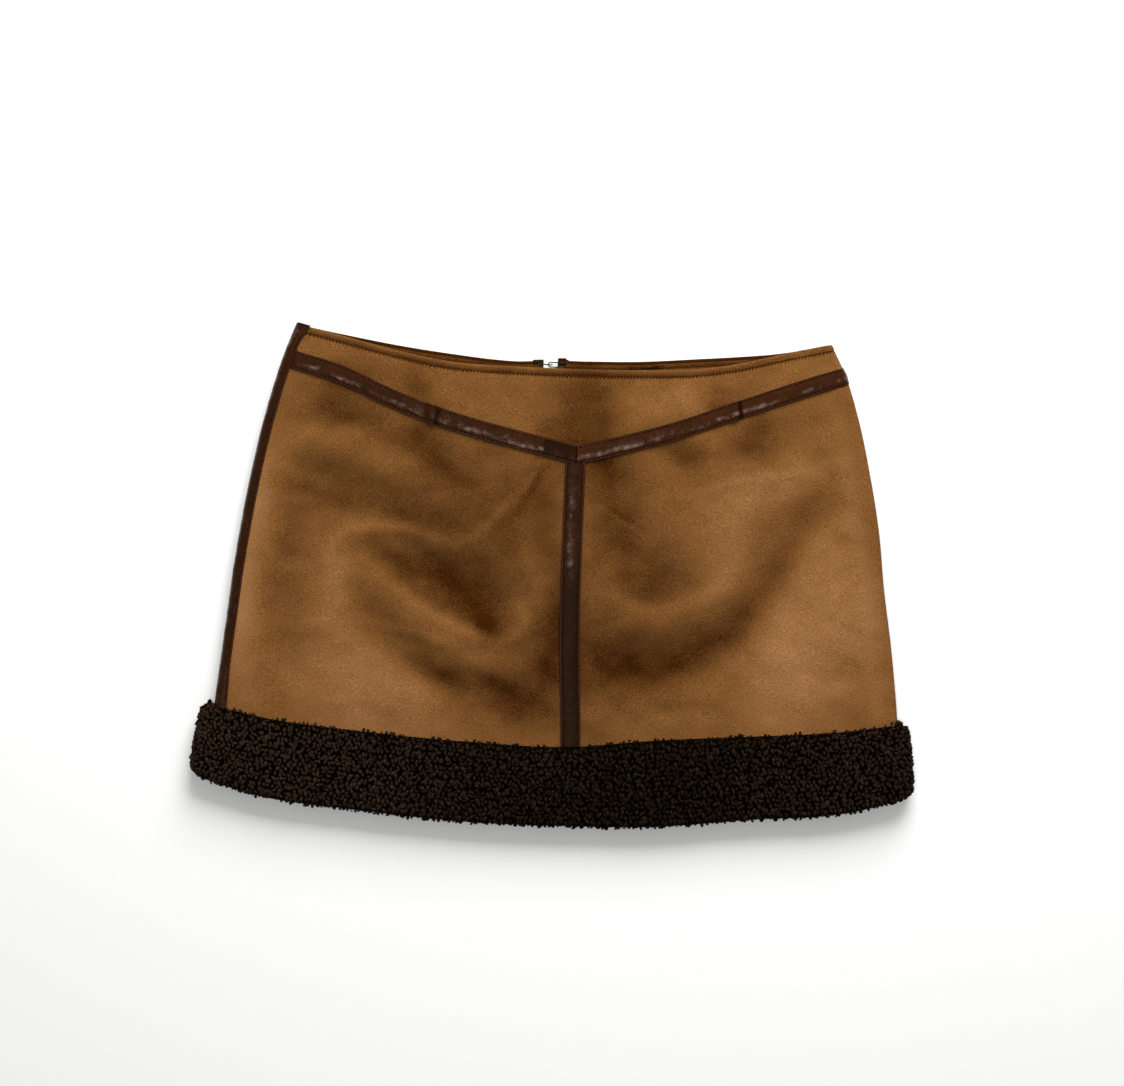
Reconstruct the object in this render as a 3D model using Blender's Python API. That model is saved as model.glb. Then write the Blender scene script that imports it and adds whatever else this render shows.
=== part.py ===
"""Low-rise mini skirt in tan suede cloth with dark leather strips and a curly pile hem band.

It lies flat on its back, front up: X across, +Y from the hem to the waist, +Z up, floor at z = 0.
Lengths are millimetres until a mesh is written, which MM turns into metres.

The cloth is a flattened tube. A point on it has a height y up the skirt and a girth place s:
s is plain x on the front, and goes on round the right fold to the back (s grows) or round the
left fold to the back (s falls). Every sewn piece is a grid of girth lines and height lines on
that tube, with an outer and an inner face at its own distances from the tube's outside.
"""

import math
from collections import namedtuple

import bmesh
import bpy
import numpy as np
from mathutils import Vector

MM = 0.001

# Driving dimensions
CENTRE = (-0.07, 0.62)  # the plan point that the part's origin stands under
SUEDE_WALL = 1.8
SEAM_GAP = 0.3
YOKE_SEAM_GAP = 0.9  # the slanted seam closes up a little where it turns round the fold
HEM_GAP = 0.6  # between the suede and the band, whose grids differ
BAND_SEAM_GAP = 1.0  # at the pile; it narrows to a third at the backing, round the fold
LEFT_SEAM_GAP = 0.6  # on the left fold, where it narrows inwards
SIDE_STRIP_LIFT = 0.45
STRIP_WALL = 1.4
STRIP_WIDTH = 12.6
CENTRE_STRIP_WIDTH = 14.0
BACK_STRIP_WIDTH = 7.4
STRIP_OVERHANG = 1.0  # a strip's top end stands this far past the waist edge
MOUTH_HEIGHT = 11.0  # top of the front layer at the waist edge
BODY_HEIGHT = 13.0  # and lower down, between its folds
MOUTH_SLOPE = 40.0  # the front reaches body height this far below the waist
BAND_HEIGHT = 19.0  # top of the pile band
BAND_WALL_FRONT = 7.0
BAND_WALL_BACK = 6.0  # the pile under the skirt is pressed flatter
BAND_STEP = 4.2  # the suede's underside rises to the band's backing by this much
BAND_RAMP = 35.0
LEFT_SEAM_FORWARD = 5.6  # the tube is turned: its left seam lies in front of the left fold
RIGHT_SEAM_BEHIND = 17.0  # and its right seam behind the right fold
RIGHT_STRIP_INSET = 13.3  # that seam, in from the skirt's right side
SIDE_TURN = 15.0  # the front's columns get closer this far in from the right side
BAND_TURN = 16.0  # and the band's this far in from each side
BACK_TURN = 22.0  # or this far round behind the left one

# The front's folds die out near a side, the waist, the band and the centre strip
SIDE_CLEAR = 4.0
SIDE_FADE = 32.0
BAND_FADE = 22.0
WAIST_FADE = 25.0
WAIST_SHARE = 0.35  # what is left of a fold at the waist edge
CENTRE_LOSS = 0.35  # what the stiff centre strip takes of a fold
CENTRE_FADE = 9.0

# The floor lifts the back over the strips that lie under it
CENTRE_FLAT = 13.5  # half the width that the zip and its strips lift
SIDE_FLAT = 10.0  # half the width that the right side strip lifts
STRIP_RAMP = 10.0  # the cloth comes down again over this width
PUFF = 0.8  # the turned waist edge swells by this much above its stitch line
PUFF_WIDTH = 5.0
STITCH_SINK = 0.2
YOKE_START_Y = 120.0  # a height in the yoke, from which the search for its edges starts
BAND_START_Y = -130.0  # and one in the band

# The zip at the centre back
ZIP_TOP = 146.0
ZIP_END = -32.0
ZIP_CLOSE = 18.0  # below its end the back strips close up over this length
ZIP_HALF_GAP = 3.8
ZIP_STRIP_CLEAR = 0.7  # the strips stand back from the cloth's edge by this much
TAPE_HALF_WIDTH = 12.0
TAPE_WALL = 0.9
TEETH_HALF_WIDTH = 2.0
TEETH_FOOT = 2.3  # they widen to this at the tape
TEETH_FACE = -0.6  # the closed teeth's outer face, from the cloth's outside
SLIDER_Y = 137.0
SLIDER_RISE = 2.6  # the back stands this much higher over the slider and its tab
SLIDER_FLAT = (7.0, 19.0)  # half the width and length of that stretch
SLIDER_AHEAD = 6.0  # whose middle lies this far below the slider
SLIDER_RAMP = 16.0
SLIDER_SIDE_RAMP = 16.5
RISE_END = SLIDER_Y - SLIDER_AHEAD - SLIDER_FLAT[1]
SLIDER_PLATE = (6.8, 10.0, 1.2)
BRIDGE_SIZE = (1.6, 7.0, 0.7)
BRIDGE_CLEAR = 2.1
TAB_SIZE = (6.0, 24.0, 1.1)
TAB_HOLE = (2.8, 5.4)
TAB_EYE = 0.55  # from the hinge axis to the tab's near end
BRIDGE_LEG = 1.2
TAB_CORNER = 2.0
HOOK_WIRE = 0.45  # wire radius
HOOK_Y = 150.6
HOOK_REACH = 9.5  # its sewn ends lie this far from the centre back
HOOK_BEND = (4.2, 3.0)  # it bends down between these distances from the centre
HOOK_TIP = (0.6, 1.1, 0.7)  # and its end turns up round these on the other side
EYE_SPREAD = 2.0  # half the distance between the eye's sewn ends
EYE_RADIUS = 1.6
EYE_NECK = 3.0  # its loop begins this far past the centre
EYE_STEPS = 6

# Sides of the suede: height up the skirt, left and right ends of the flat tube
Side = namedtuple("Side", "y left right")
SUEDE_SIDES = (
    Side(172, -190.5, 184.7),
    Side(152, -197.4, 194.6),
    Side(122, -206.0, 205.0),
    Side(82, -214.9, 215.0),
    Side(42, -221.7, 222.9),
    Side(2, -227.1, 228.0),
    Side(-38, -231.1, 234.5),
    Side(-78, -235.1, 239.6),
    Side(-118, -238.6, 243.0),
)
# Sides of the pile band, which stands out past the suede
BAND_SIDES = (
    Side(-88, -246.0, 249.0),
    Side(-108, -250.0, 251.6),
    Side(-126, -252.8, 253.4),
    Side(-140, -254.0, 254.0),
    Side(-152, -252.6, 252.4),
)

# Edges across the skirt: place across, and the height of each edge there
Edge = namedtuple("Edge", "x front back")
WAIST = (
    Edge(-191, 172.0, 172.0),
    Edge(-157, 164.5, 166.2),
    Edge(-120, 156.2, 160.4),
    Edge(-83, 150.0, 156.0),
    Edge(-40, 148.3, 152.6),
    Edge(8, 148.2, 154.2),
    Edge(50, 149.0, 155.6),
    Edge(92, 151.6, 159.2),
    Edge(120, 156.4, 161.8),
    Edge(146, 163.2, 164.8),
    Edge(184, 172.4, 172.4),
)
Hem = namedtuple("Hem", "x band_top hem")
HEMS = (
    Hem(-252, -94.5, -146.5),
    Hem(-204, -104.8, -159.4),
    Hem(-140, -111.2, -166.2),
    Hem(-60, -116.0, -171.6),
    Hem(8, -117.0, -172.0),
    Hem(74, -109.8, -170.0),
    Hem(140, -104.4, -162.4),
    Hem(204, -98.6, -155.8),
    Hem(252, -90.5, -143.0),
)

# The yoke's slanted seam, left and right of its point
Slant = namedtuple("Slant", "x y")
YOKE_LEFT = (Slant(-188.7, 145.9), Slant(-90.6, 111.3), Slant(8.6, 88.5))
YOKE_RIGHT = (Slant(8.6, 88.5), Slant(120.6, 122.8), Slant(192.7, 149.5))
YOKE_STRIP_RISE = 6.6  # half the strip's height on the slant
LEFT_JOIN_X = -90.6
TIP_JOIN_X = -15.0
RIGHT_JOIN_X = 120.6

# The centre lines: height up the skirt, centre front and centre back
Centre = namedtuple("Centre", "y front back")
CENTRES = (
    Centre(172, 8.5, -12.4),
    Centre(80, 7.9, -12.0),
    Centre(-42, 8.8, -11.0),
    Centre(-115, 12.3, -9.5),
    Centre(-172, 13.5, -8.5),
)

# The front's folds: each runs on a bow from its start past its middle to its end
Fold = namedtuple("Fold", "x0 y0 x1 y1 x2 y2 width height")
FOLDS = (
    Fold(-98, 110, -88, 86, -66, 60, 9, -2.4),
    Fold(-184, 114, -160, 108, -136, 106, 9, -1.5),
    Fold(-205, 88, -140, 86, -78, 46, 11, 2.0),
    Fold(-192, 70, -140, 64, -74, 28, 12, -3.4),
    Fold(-170, 12, -130, 44, -62, 24, 9, 1.6),
    Fold(-136, 24, -80, 13, -34, -31, 13, -6.2),
    Fold(-140, -2, -49, -90, -10, -10, 9, 2.4),
    Fold(-152, -10, -71, -106, -6, -76, 10, -3.6),
    Fold(-165, -36, -130, -72, -88, -98, 20, 1.8),
    Fold(-198, 22, -193, -28, -188, -84, 10, -1.4),
    Fold(56, 100, 76, 90, 90, 74, 8, -2.0),
    Fold(118, 136, 130, 122, 142, 104, 7, -1.2),
    Fold(38, 80, 42, -18, 88, 4, 13, -3.8),
    Fold(28, 12, 55, -82, 122, 32, 9, 2.2),
    Fold(122, 30, 132, 76, 166, 106, 12, 1.4),
    Fold(22, -58, 95, -76, 132, -10, 12, -5.4),
    Fold(130, -16, 148, 46, 198, 66, 11, -3.6),
    Fold(150, -68, 186, -18, 190, 34, 22, 2.0),
    Fold(14, 146, 14, 122, 16, 98, 14, -1.6),
)
FOLD_SAMPLES = 17
FOLD_END = 0.12  # a fold's depth follows a sine, which starts and ends this far along it

# The pile band's rounding: how far a row lies in from the band's edge, and below its full height
Round = namedtuple("Round", "inset drop")
BAND_ROUND = (Round(0.0, 4.4), Round(1.4, 2.2), Round(5.0, 0.5))

# Colours: red, green, blue as linear light, roughness, metallic
Finish = namedtuple("Finish", "red green blue roughness metallic")
FINISHES = {
    "suede": Finish(0.245, 0.108, 0.036, 0.9, 0.0),
    "leather": Finish(0.030, 0.013, 0.010, 0.4, 0.0),
    "pile": Finish(0.012, 0.007, 0.004, 0.95, 0.0),
    "zip_cloth": Finish(0.020, 0.012, 0.008, 0.8, 0.0),
    "metal": Finish(0.16, 0.13, 0.10, 0.35, 1.0),
}


def clear_scene():
    for item in list(bpy.data.objects):
        bpy.data.objects.remove(item, do_unlink=True)


def make_materials():
    made = {}
    for name, finish in FINISHES.items():
        material = bpy.data.materials.new(name)
        material.use_nodes = True
        shader = material.node_tree.nodes["Principled BSDF"]
        shader.inputs["Base Color"].default_value = (finish.red, finish.green, finish.blue, 1.0)
        shader.inputs["Roughness"].default_value = finish.roughness
        shader.inputs["Metallic"].default_value = finish.metallic
        made[name] = material
    return made


def smooth(t):
    t = np.clip(t, 0.0, 1.0)
    return t * t * (3.0 - 2.0 * t)


def curve(knots, values):
    """A smooth function through a table's rows, straight past its ends."""
    order = np.argsort(knots)
    x = np.asarray(knots, float)[order]
    y = np.asarray(values, float)[order]
    slope = np.gradient(y, x)

    def at(t):
        t = np.asarray(t, float)
        inside = np.clip(t, x[0], x[-1])
        i = np.clip(np.searchsorted(x, inside) - 1, 0, len(x) - 2)
        h = x[i + 1] - x[i]
        u = (inside - x[i]) / h
        start = (1 + 2 * u) * (1 - u) ** 2 * y[i] + u * (1 - u) ** 2 * h * slope[i]
        end = u * u * (3 - 2 * u) * y[i + 1] - u * u * (1 - u) * h * slope[i + 1]
        past = (t - inside) * np.where(t < x[0], slope[0], slope[-1])
        return start + end + past

    return at


def column(table, knot, value):
    """A smooth function from one named column of a table to another."""
    return curve([getattr(row, knot) for row in table], [getattr(row, value) for row in table])


waist_front = column(WAIST, "x", "front")
waist_back = column(WAIST, "x", "back")
band_top = column(HEMS, "x", "band_top")
hem_edge = column(HEMS, "x", "hem")
centre_front = column(CENTRES, "y", "front")
centre_back = column(CENTRES, "y", "back")
yoke_left = column(YOKE_LEFT, "x", "y")
yoke_right = column(YOKE_RIGHT, "x", "y")
suede_right = column(SUEDE_SIDES, "y", "right")
suede_left = column(SUEDE_SIDES, "y", "left")


def yoke_seam(s):
    return np.where(s < YOKE_LEFT[-1].x, yoke_left(s), yoke_right(s))


def fold_relief(x, y):
    """The sum of the front's folds: soft round dabs along each bow add up to a trough or ridge."""
    relief = np.zeros(np.broadcast(x, y).shape)
    for fold in FOLDS:
        for t in np.linspace(0, 1, FOLD_SAMPLES):
            px = (1 - t) ** 2 * fold.x0 + 2 * t * (1 - t) * fold.x1 + t * t * fold.x2
            py = (1 - t) ** 2 * fold.y0 + 2 * t * (1 - t) * fold.y1 + t * t * fold.y2
            run_x = 2 * (1 - t) * (fold.x1 - fold.x0) + 2 * t * (fold.x2 - fold.x1)
            run_y = 2 * (1 - t) * (fold.y1 - fold.y0) + 2 * t * (fold.y2 - fold.y1)
            step = math.hypot(run_x, run_y) / (FOLD_SAMPLES - 1)
            full = math.sin(math.pi * (FOLD_END + (1 - 2 * FOLD_END) * t))
            dab = fold.height * full * step
            away = ((x - px) ** 2 + (y - py) ** 2) / (2.0 * fold.width**2)
            relief = relief + dab / (fold.width * math.sqrt(2 * math.pi)) * np.exp(-away)
    return relief


def rise_over(distance, flat, ramp):
    return 1.0 - smooth((np.abs(distance) - flat) / ramp)


def suede_bottom(x, y):
    """The underside: flat on the floor, but lifted by the strips, the slider and the band."""
    lift = STRIP_WALL + SIDE_STRIP_LIFT
    from_centre = x - centre_back(y)
    from_right = x - (suede_right(y) - RIGHT_STRIP_INSET)
    centre = rise_over(from_centre, CENTRE_FLAT, STRIP_RAMP)
    strips = lift * np.maximum(centre, rise_over(from_right, SIDE_FLAT, STRIP_RAMP))
    from_slider = y - SLIDER_Y + SLIDER_AHEAD
    slider = rise_over(from_centre, SLIDER_FLAT[0], SLIDER_SIDE_RAMP)
    slider = slider * rise_over(from_slider, SLIDER_FLAT[1], SLIDER_RAMP)
    band = 1.0 - smooth((y - band_top(x)) / BAND_RAMP)
    return BAND_STEP * band + (1.0 - band) * (strips + SLIDER_RISE * slider)


def suede_top(x, y):
    """The front layer's outside."""
    below_waist = waist_front(x) - y
    mouth = MOUTH_HEIGHT + (BODY_HEIGHT - MOUTH_HEIGHT) * smooth(below_waist / MOUTH_SLOPE)
    from_left = x - suede_left(y) - SIDE_CLEAR
    from_right = suede_right(y) - SIDE_CLEAR - x
    sides = smooth(from_left / SIDE_FADE) * smooth(from_right / SIDE_FADE)
    waist = WAIST_SHARE + (1.0 - WAIST_SHARE) * smooth(below_waist / WAIST_FADE)
    ends = smooth((y - band_top(x)) / BAND_FADE) * waist
    strip = 1.0 - CENTRE_LOSS * np.exp(-0.5 * ((x - centre_front(y)) / CENTRE_FADE) ** 2)
    return mouth + fold_relief(x, y) * sides * ends * strip


def band_bottom(x, y):
    return np.zeros(np.broadcast(x, y).shape)


def band_cover(x, y):
    return np.full(np.broadcast(x, y).shape, BAND_HEIGHT)


class Tube:
    """A flattened tube with a round fold at each side, from its two sides and its two layers."""

    def __init__(self, sides, bottom, top):
        self.left = column(sides, "y", "left")
        self.right = column(sides, "y", "right")
        self.bottom = bottom
        self.top = top

    def radius(self, x, y):
        return (self.top(x, y) - self.bottom(x, y)) / 2.0

    def left_turn(self, y):
        """The girth place of the left fold's outermost line."""
        radius = self.radius(self.left(y), y)
        return self.left(y) + radius * (1.0 - math.pi / 2)

    def right_turn(self, y):
        radius = self.radius(self.right(y), y)
        return self.right(y) - radius * (1.0 - math.pi / 2)

    def round_left(self, x, y):
        """The girth place of a line on the back, reached round the left fold."""
        radius = self.radius(self.left(y), y)
        return 2 * (self.left(y) + radius) - math.pi * radius - x

    def round_right(self, x, y):
        radius = self.radius(self.right(y), y)
        return 2 * (self.right(y) - radius) + math.pi * radius - x

    def place(self, s, y):
        """The place across, and the share of the top layer there: 1 in front, 0 behind."""
        left, right = self.left(y), self.right(y)
        left_radius, right_radius = self.radius(left, y), self.radius(right, y)
        left_angle = (left + left_radius - s) / left_radius
        right_angle = (s - right + right_radius) / right_radius
        over_left = np.sin(np.clip(left_angle, 0, math.pi)) - np.maximum(left_angle - math.pi, 0)
        over_right = np.sin(np.clip(right_angle, 0, math.pi)) - np.maximum(right_angle - math.pi, 0)
        x = np.where(left_angle > 0, left + left_radius * (1 - over_left), s)
        x = np.where(right_angle > 0, right - right_radius * (1 - over_right), x)
        angle = np.clip(np.maximum(left_angle, right_angle), 0, math.pi)
        return x, (1 + np.cos(angle)) / 2

    def point(self, s, y):
        x, share = self.place(s, y)
        z = self.bottom(x, y) * (1 - share) + self.top(x, y) * share
        return np.stack([x, np.broadcast_to(y, x.shape), z], axis=-1)

    def lifted(self, s, y, lift):
        """The tube's point moved out along its normal by lift."""
        step = 0.05
        along_s = self.point(s + step, y) - self.point(s - step, y)
        along_y = self.point(s, y + step) - self.point(s, y - step)
        normal = np.cross(along_s, along_y)
        normal /= np.linalg.norm(normal, axis=-1, keepdims=True)
        return self.point(s, y) + normal * np.asarray(lift)[..., None]


SUEDE = Tube(SUEDE_SIDES, suede_bottom, suede_top)
BAND = Tube(BAND_SIDES, band_bottom, band_cover)


# Girth lines: each gives s at a height y on the suede tube
def left_seam(y):
    return SUEDE.left_turn(y) + LEFT_SEAM_FORWARD


def right_seam(y):
    return SUEDE.right_turn(y) + RIGHT_SEAM_BEHIND


def beside(line, offset):
    return lambda y: line(y) + offset


def share_between(line_a, line_b, share):
    return lambda y: line_a(y) * (1 - share) + line_b(y) * share


def left_front_edge(y):
    return left_seam(y) + STRIP_WIDTH / 2


def centre_left_edge(y):
    return centre_front(y) - CENTRE_STRIP_WIDTH / 2


def centre_right_edge(y):
    return centre_front(y) + CENTRE_STRIP_WIDTH / 2


def right_fold_start(y):
    return SUEDE.right(y) - SIDE_TURN


def right_strip_edge(y):
    return right_seam(y) - STRIP_WIDTH / 2


def join_line(line_a, line_b, join_x):
    """A line that keeps its share of the width and passes the yoke seam at join_x."""
    y = float(yoke_seam(join_x))
    share = (join_x - float(line_a(y))) / (float(line_b(y)) - float(line_a(y)))
    return share_between(line_a, line_b, share)


left_join = join_line(left_front_edge, centre_left_edge, LEFT_JOIN_X)
tip_join = join_line(left_front_edge, centre_left_edge, TIP_JOIN_X)
right_join = join_line(centre_right_edge, right_fold_start, RIGHT_JOIN_X)


def zip_opening(y):
    """1 along the zip, 0 where the back seam is sewn shut below it."""
    return smooth((y - ZIP_END + ZIP_CLOSE) / ZIP_CLOSE)


def back_edge_offset(y):
    return SEAM_GAP / 2 + (ZIP_HALF_GAP - SEAM_GAP / 2) * zip_opening(y)


def back_strip_offset(y):
    return SEAM_GAP + (ZIP_HALF_GAP + ZIP_STRIP_CLEAR - SEAM_GAP) * zip_opening(y)


def back_line(tube_round, offset, side):
    """A line on the back at an offset from the centre back: side -1 left, 1 right."""
    return lambda y: tube_round(centre_back(y) + side * offset(y), y)


# Height lines: each gives y at a girth place on the suede tube
def at_waist(s, y):
    x, share = SUEDE.place(s, y)
    return waist_front(x) * share + waist_back(x) * (1 - share)


def at_yoke(s, y):
    return yoke_seam(s)


def at_band(s, y):
    x, _ = SUEDE.place(s, y)
    return band_top(x)


def above(line, offset):
    return lambda s, y: line(s, y) + offset


def at_height(y):
    return lambda s, _: np.full(s.shape, y)


def back_rows():
    """The back's height lines: close together where the underside rises over the slider's tab."""
    return (
        (at_waist, 4),
        (at_height(RISE_END), 3),
        (at_height(RISE_END - SLIDER_RAMP), 6),
        (above(at_band, BAND_RAMP), 3),
        (above(at_band, HEM_GAP / 2), 0),
    )


class Lines:
    """Lines and the number of steps from each to the next; step numbers fall between them."""

    def __init__(self, *rows):
        self.lines = [line for line, _ in rows]
        self.steps = np.array([steps for _, steps in rows[:-1]])
        self.marks = np.concatenate([[0], np.cumsum(self.steps)])
        self.count = int(self.marks[-1])

    def at(self, number, *where):
        places = np.array([np.broadcast_to(line(*where), number.shape) for line in self.lines])
        k = np.clip(np.searchsorted(self.marks, number + 1e-6, side="right") - 1, 0, len(self.steps) - 1)
        share = (number - self.marks[k]) / self.steps[k]
        index = np.arange(len(number))
        return places[k, index] * (1 - share) + places[k + 1, index] * share


def cloth(name, material, tube, girth, heights, outside, inside, start_y=0.0):
    """A closed sheet of cloth over a grid of girth lines and height lines.

    outside and inside give each face's distance from the tube's outside, from the column, row,
    girth place and height.
    """
    bm = bmesh.new()
    bmesh.ops.create_grid(bm, x_segments=girth.count, y_segments=heights.count, size=1.0)
    raised = bmesh.ops.extrude_face_region(bm, geom=bm.faces[:])
    outer = {item for item in raised["geom"] if isinstance(item, bmesh.types.BMVert)}
    verts = bm.verts[:]
    columns = np.array([(v.co.x + 1) / 2 * girth.count for v in verts])
    rows = np.array([(1 - v.co.y) / 2 * heights.count for v in verts])
    y = np.full(len(verts), start_y)
    for _ in range(8):
        s = girth.at(columns, y)
        y = heights.at(rows, s, y)
    s = girth.at(columns, y)
    is_outer = np.array([v in outer for v in verts])
    lift = np.where(is_outer, outside(columns, rows, s, y), inside(columns, rows, s, y))
    for vert, place in zip(verts, tube.lifted(s, y, lift)):
        vert.co = place
    return finish(name, material, bm)


def finish(name, material, bm):
    """Centres a mesh of millimetres over the origin, in metres, and shows it as an object."""
    for vert in bm.verts:
        vert.co = (vert.co - Vector((*CENTRE, 0.0))) * MM
    mesh = bpy.data.meshes.new(name)
    bm.normal_update()
    bm.to_mesh(mesh)
    bm.free()
    mesh.materials.append(material)
    item = bpy.data.objects.new(name, mesh)
    bpy.context.scene.collection.objects.link(item)
    return item


def level(value):
    return lambda c, r, s, y: np.full(c.shape, value)


def make_front(materials):
    """The yoke and the two front panels, which meet under the strips."""
    half = SEAM_GAP / 2
    left_girth = (
        (beside(left_seam, LEFT_SEAM_GAP / 2), 2),
        (left_front_edge, 8),
        (left_join, 6),
        (tip_join, 2),
        (centre_left_edge, 1),
    )
    right_girth = (
        (centre_right_edge, 9),
        (right_join, 4),
        (right_fold_start, 8),
        (right_strip_edge, 2),
        (beside(right_seam, -half), 0),
    )
    yoke_girth = Lines(*left_girth, (centre_front, 1), *right_girth)
    yoke_heights = Lines(
        (at_waist, 1),
        (above(at_waist, -PUFF_WIDTH / 2), 1),
        (above(at_waist, -PUFF_WIDTH), 4),
        (above(at_yoke, YOKE_STRIP_RISE), 1),
        (above(at_yoke, YOKE_SEAM_GAP / 2), 0),
    )
    panel_heights = Lines(
        (above(at_yoke, -YOKE_SEAM_GAP / 2), 1),
        (above(at_yoke, -YOKE_STRIP_RISE), 19),
        (above(at_band, HEM_GAP / 2), 0),
    )

    def puffed(c, r, s, y):
        clear_of_strips = (c > 2.5) & (c < yoke_girth.count - 2.5)
        return np.where(clear_of_strips & np.isclose(r, 1), PUFF, np.where(r < 2.5, -STITCH_SINK, 0.0))

    inside = level(-SUEDE_WALL)
    suede = materials["suede"]
    cloth("front_yoke", suede, SUEDE, yoke_girth, yoke_heights, puffed, inside, YOKE_START_Y)
    left_panel = Lines(*left_girth, (beside(centre_front, -half), 0))
    cloth("front_left", suede, SUEDE, left_panel, panel_heights, level(0.0), inside)
    right_panel = Lines((beside(centre_front, half), 1), *right_girth)
    cloth("front_right", suede, SUEDE, right_panel, panel_heights, level(0.0), inside)


def make_back(materials):
    """The two back panels, from the side seams to the zip at the centre back."""

    def flat_end(y):
        return np.full(np.shape(y), CENTRE_FLAT)

    def ramp_end(y):
        return np.full(np.shape(y), CENTRE_FLAT + STRIP_RAMP)

    half = SEAM_GAP / 2
    heights = Lines(*back_rows())
    left = Lines(
        (back_line(SUEDE.round_left, back_edge_offset, -1), 2),
        (back_line(SUEDE.round_left, flat_end, -1), 3),
        (back_line(SUEDE.round_left, ramp_end, -1), 8),
        (beside(SUEDE.left_turn, -SIDE_TURN), 5),
        (beside(left_seam, -STRIP_WIDTH / 2), 2),
        (beside(left_seam, -LEFT_SEAM_GAP / 2), 0),
    )
    right = Lines(
        (beside(right_seam, half), 1),
        (beside(right_seam, STRIP_WIDTH / 2), 1),
        (beside(right_seam, SIDE_FLAT), 3),
        (beside(right_seam, SIDE_FLAT + STRIP_RAMP), 8),
        (back_line(SUEDE.round_right, ramp_end, 1), 3),
        (back_line(SUEDE.round_right, flat_end, 1), 2),
        (back_line(SUEDE.round_right, back_edge_offset, 1), 0),
    )
    inside = level(-SUEDE_WALL)
    cloth("back_left", materials["suede"], SUEDE, left, heights, level(0.0), inside)
    cloth("back_right", materials["suede"], SUEDE, right, heights, level(0.0), inside)


def make_strips(materials):
    """The leather strips over the seams, each a little off the cloth below it."""
    half = SEAM_GAP / 2
    leather = materials["leather"]
    outside = level(SEAM_GAP + STRIP_WALL)
    inside = level(SEAM_GAP)
    slant = Lines(
        (above(at_yoke, YOKE_STRIP_RISE), 1),
        (at_yoke, 1),
        (above(at_yoke, -YOKE_STRIP_RISE), 0),
    )
    spans = (
        (
            "yoke_strip_left_outer",
            ((beside(left_front_edge, 2 * SEAM_GAP), 8), (beside(left_join, -half), 0)),
        ),
        ("yoke_strip_left_inner", ((beside(left_join, half), 6), (beside(tip_join, -half), 0))),
        (
            "yoke_strip_left_tip",
            ((beside(tip_join, half), 2), (centre_left_edge, 1), (beside(centre_front, -half), 0)),
        ),
        (
            "yoke_strip_right_inner",
            ((beside(centre_front, half), 1), (centre_right_edge, 9), (beside(right_join, -half), 0)),
        ),
        (
            "yoke_strip_right_outer",
            (
                (beside(right_join, half), 4),
                (right_fold_start, 8),
                (beside(right_strip_edge, -SEAM_GAP), 0),
            ),
        ),
    )
    for name, lines in spans:
        cloth(name, leather, SUEDE, Lines(*lines), slant, outside, inside, YOKE_START_Y)

    centre_heights = Lines(
        (above(at_yoke, -YOKE_STRIP_RISE - SEAM_GAP), 19),
        (above(at_band, HEM_GAP / 2), 0),
    )
    centre_girth = Lines((centre_left_edge, 1), (centre_front, 1), (centre_right_edge, 0))
    cloth("centre_front_strip", leather, SUEDE, centre_girth, centre_heights, outside, inside)

    side_heights = Lines((above(at_waist, STRIP_OVERHANG), 1), *back_rows())
    for name, seam in (("side_strip_left", left_seam), ("side_strip_right", right_seam)):
        girth = Lines(
            (beside(seam, -STRIP_WIDTH / 2), 2),
            (seam, 2),
            (beside(seam, STRIP_WIDTH / 2), 0),
        )
        side_outside = level(SIDE_STRIP_LIFT + STRIP_WALL)
        cloth(name, leather, SUEDE, girth, side_heights, side_outside, level(SIDE_STRIP_LIFT))

    def outer_edge(y):
        return back_strip_offset(y) + BACK_STRIP_WIDTH

    sides = (
        ("back_strip_left", SUEDE.round_left, -1),
        ("back_strip_right", SUEDE.round_right, 1),
    )
    for name, tube_round, side in sides:
        offsets = (back_strip_offset, outer_edge)[::-side]
        start, end = [back_line(tube_round, offset, side) for offset in offsets]
        cloth(name, leather, SUEDE, Lines((start, 1), (end, 0)), side_heights, outside, inside)


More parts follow.
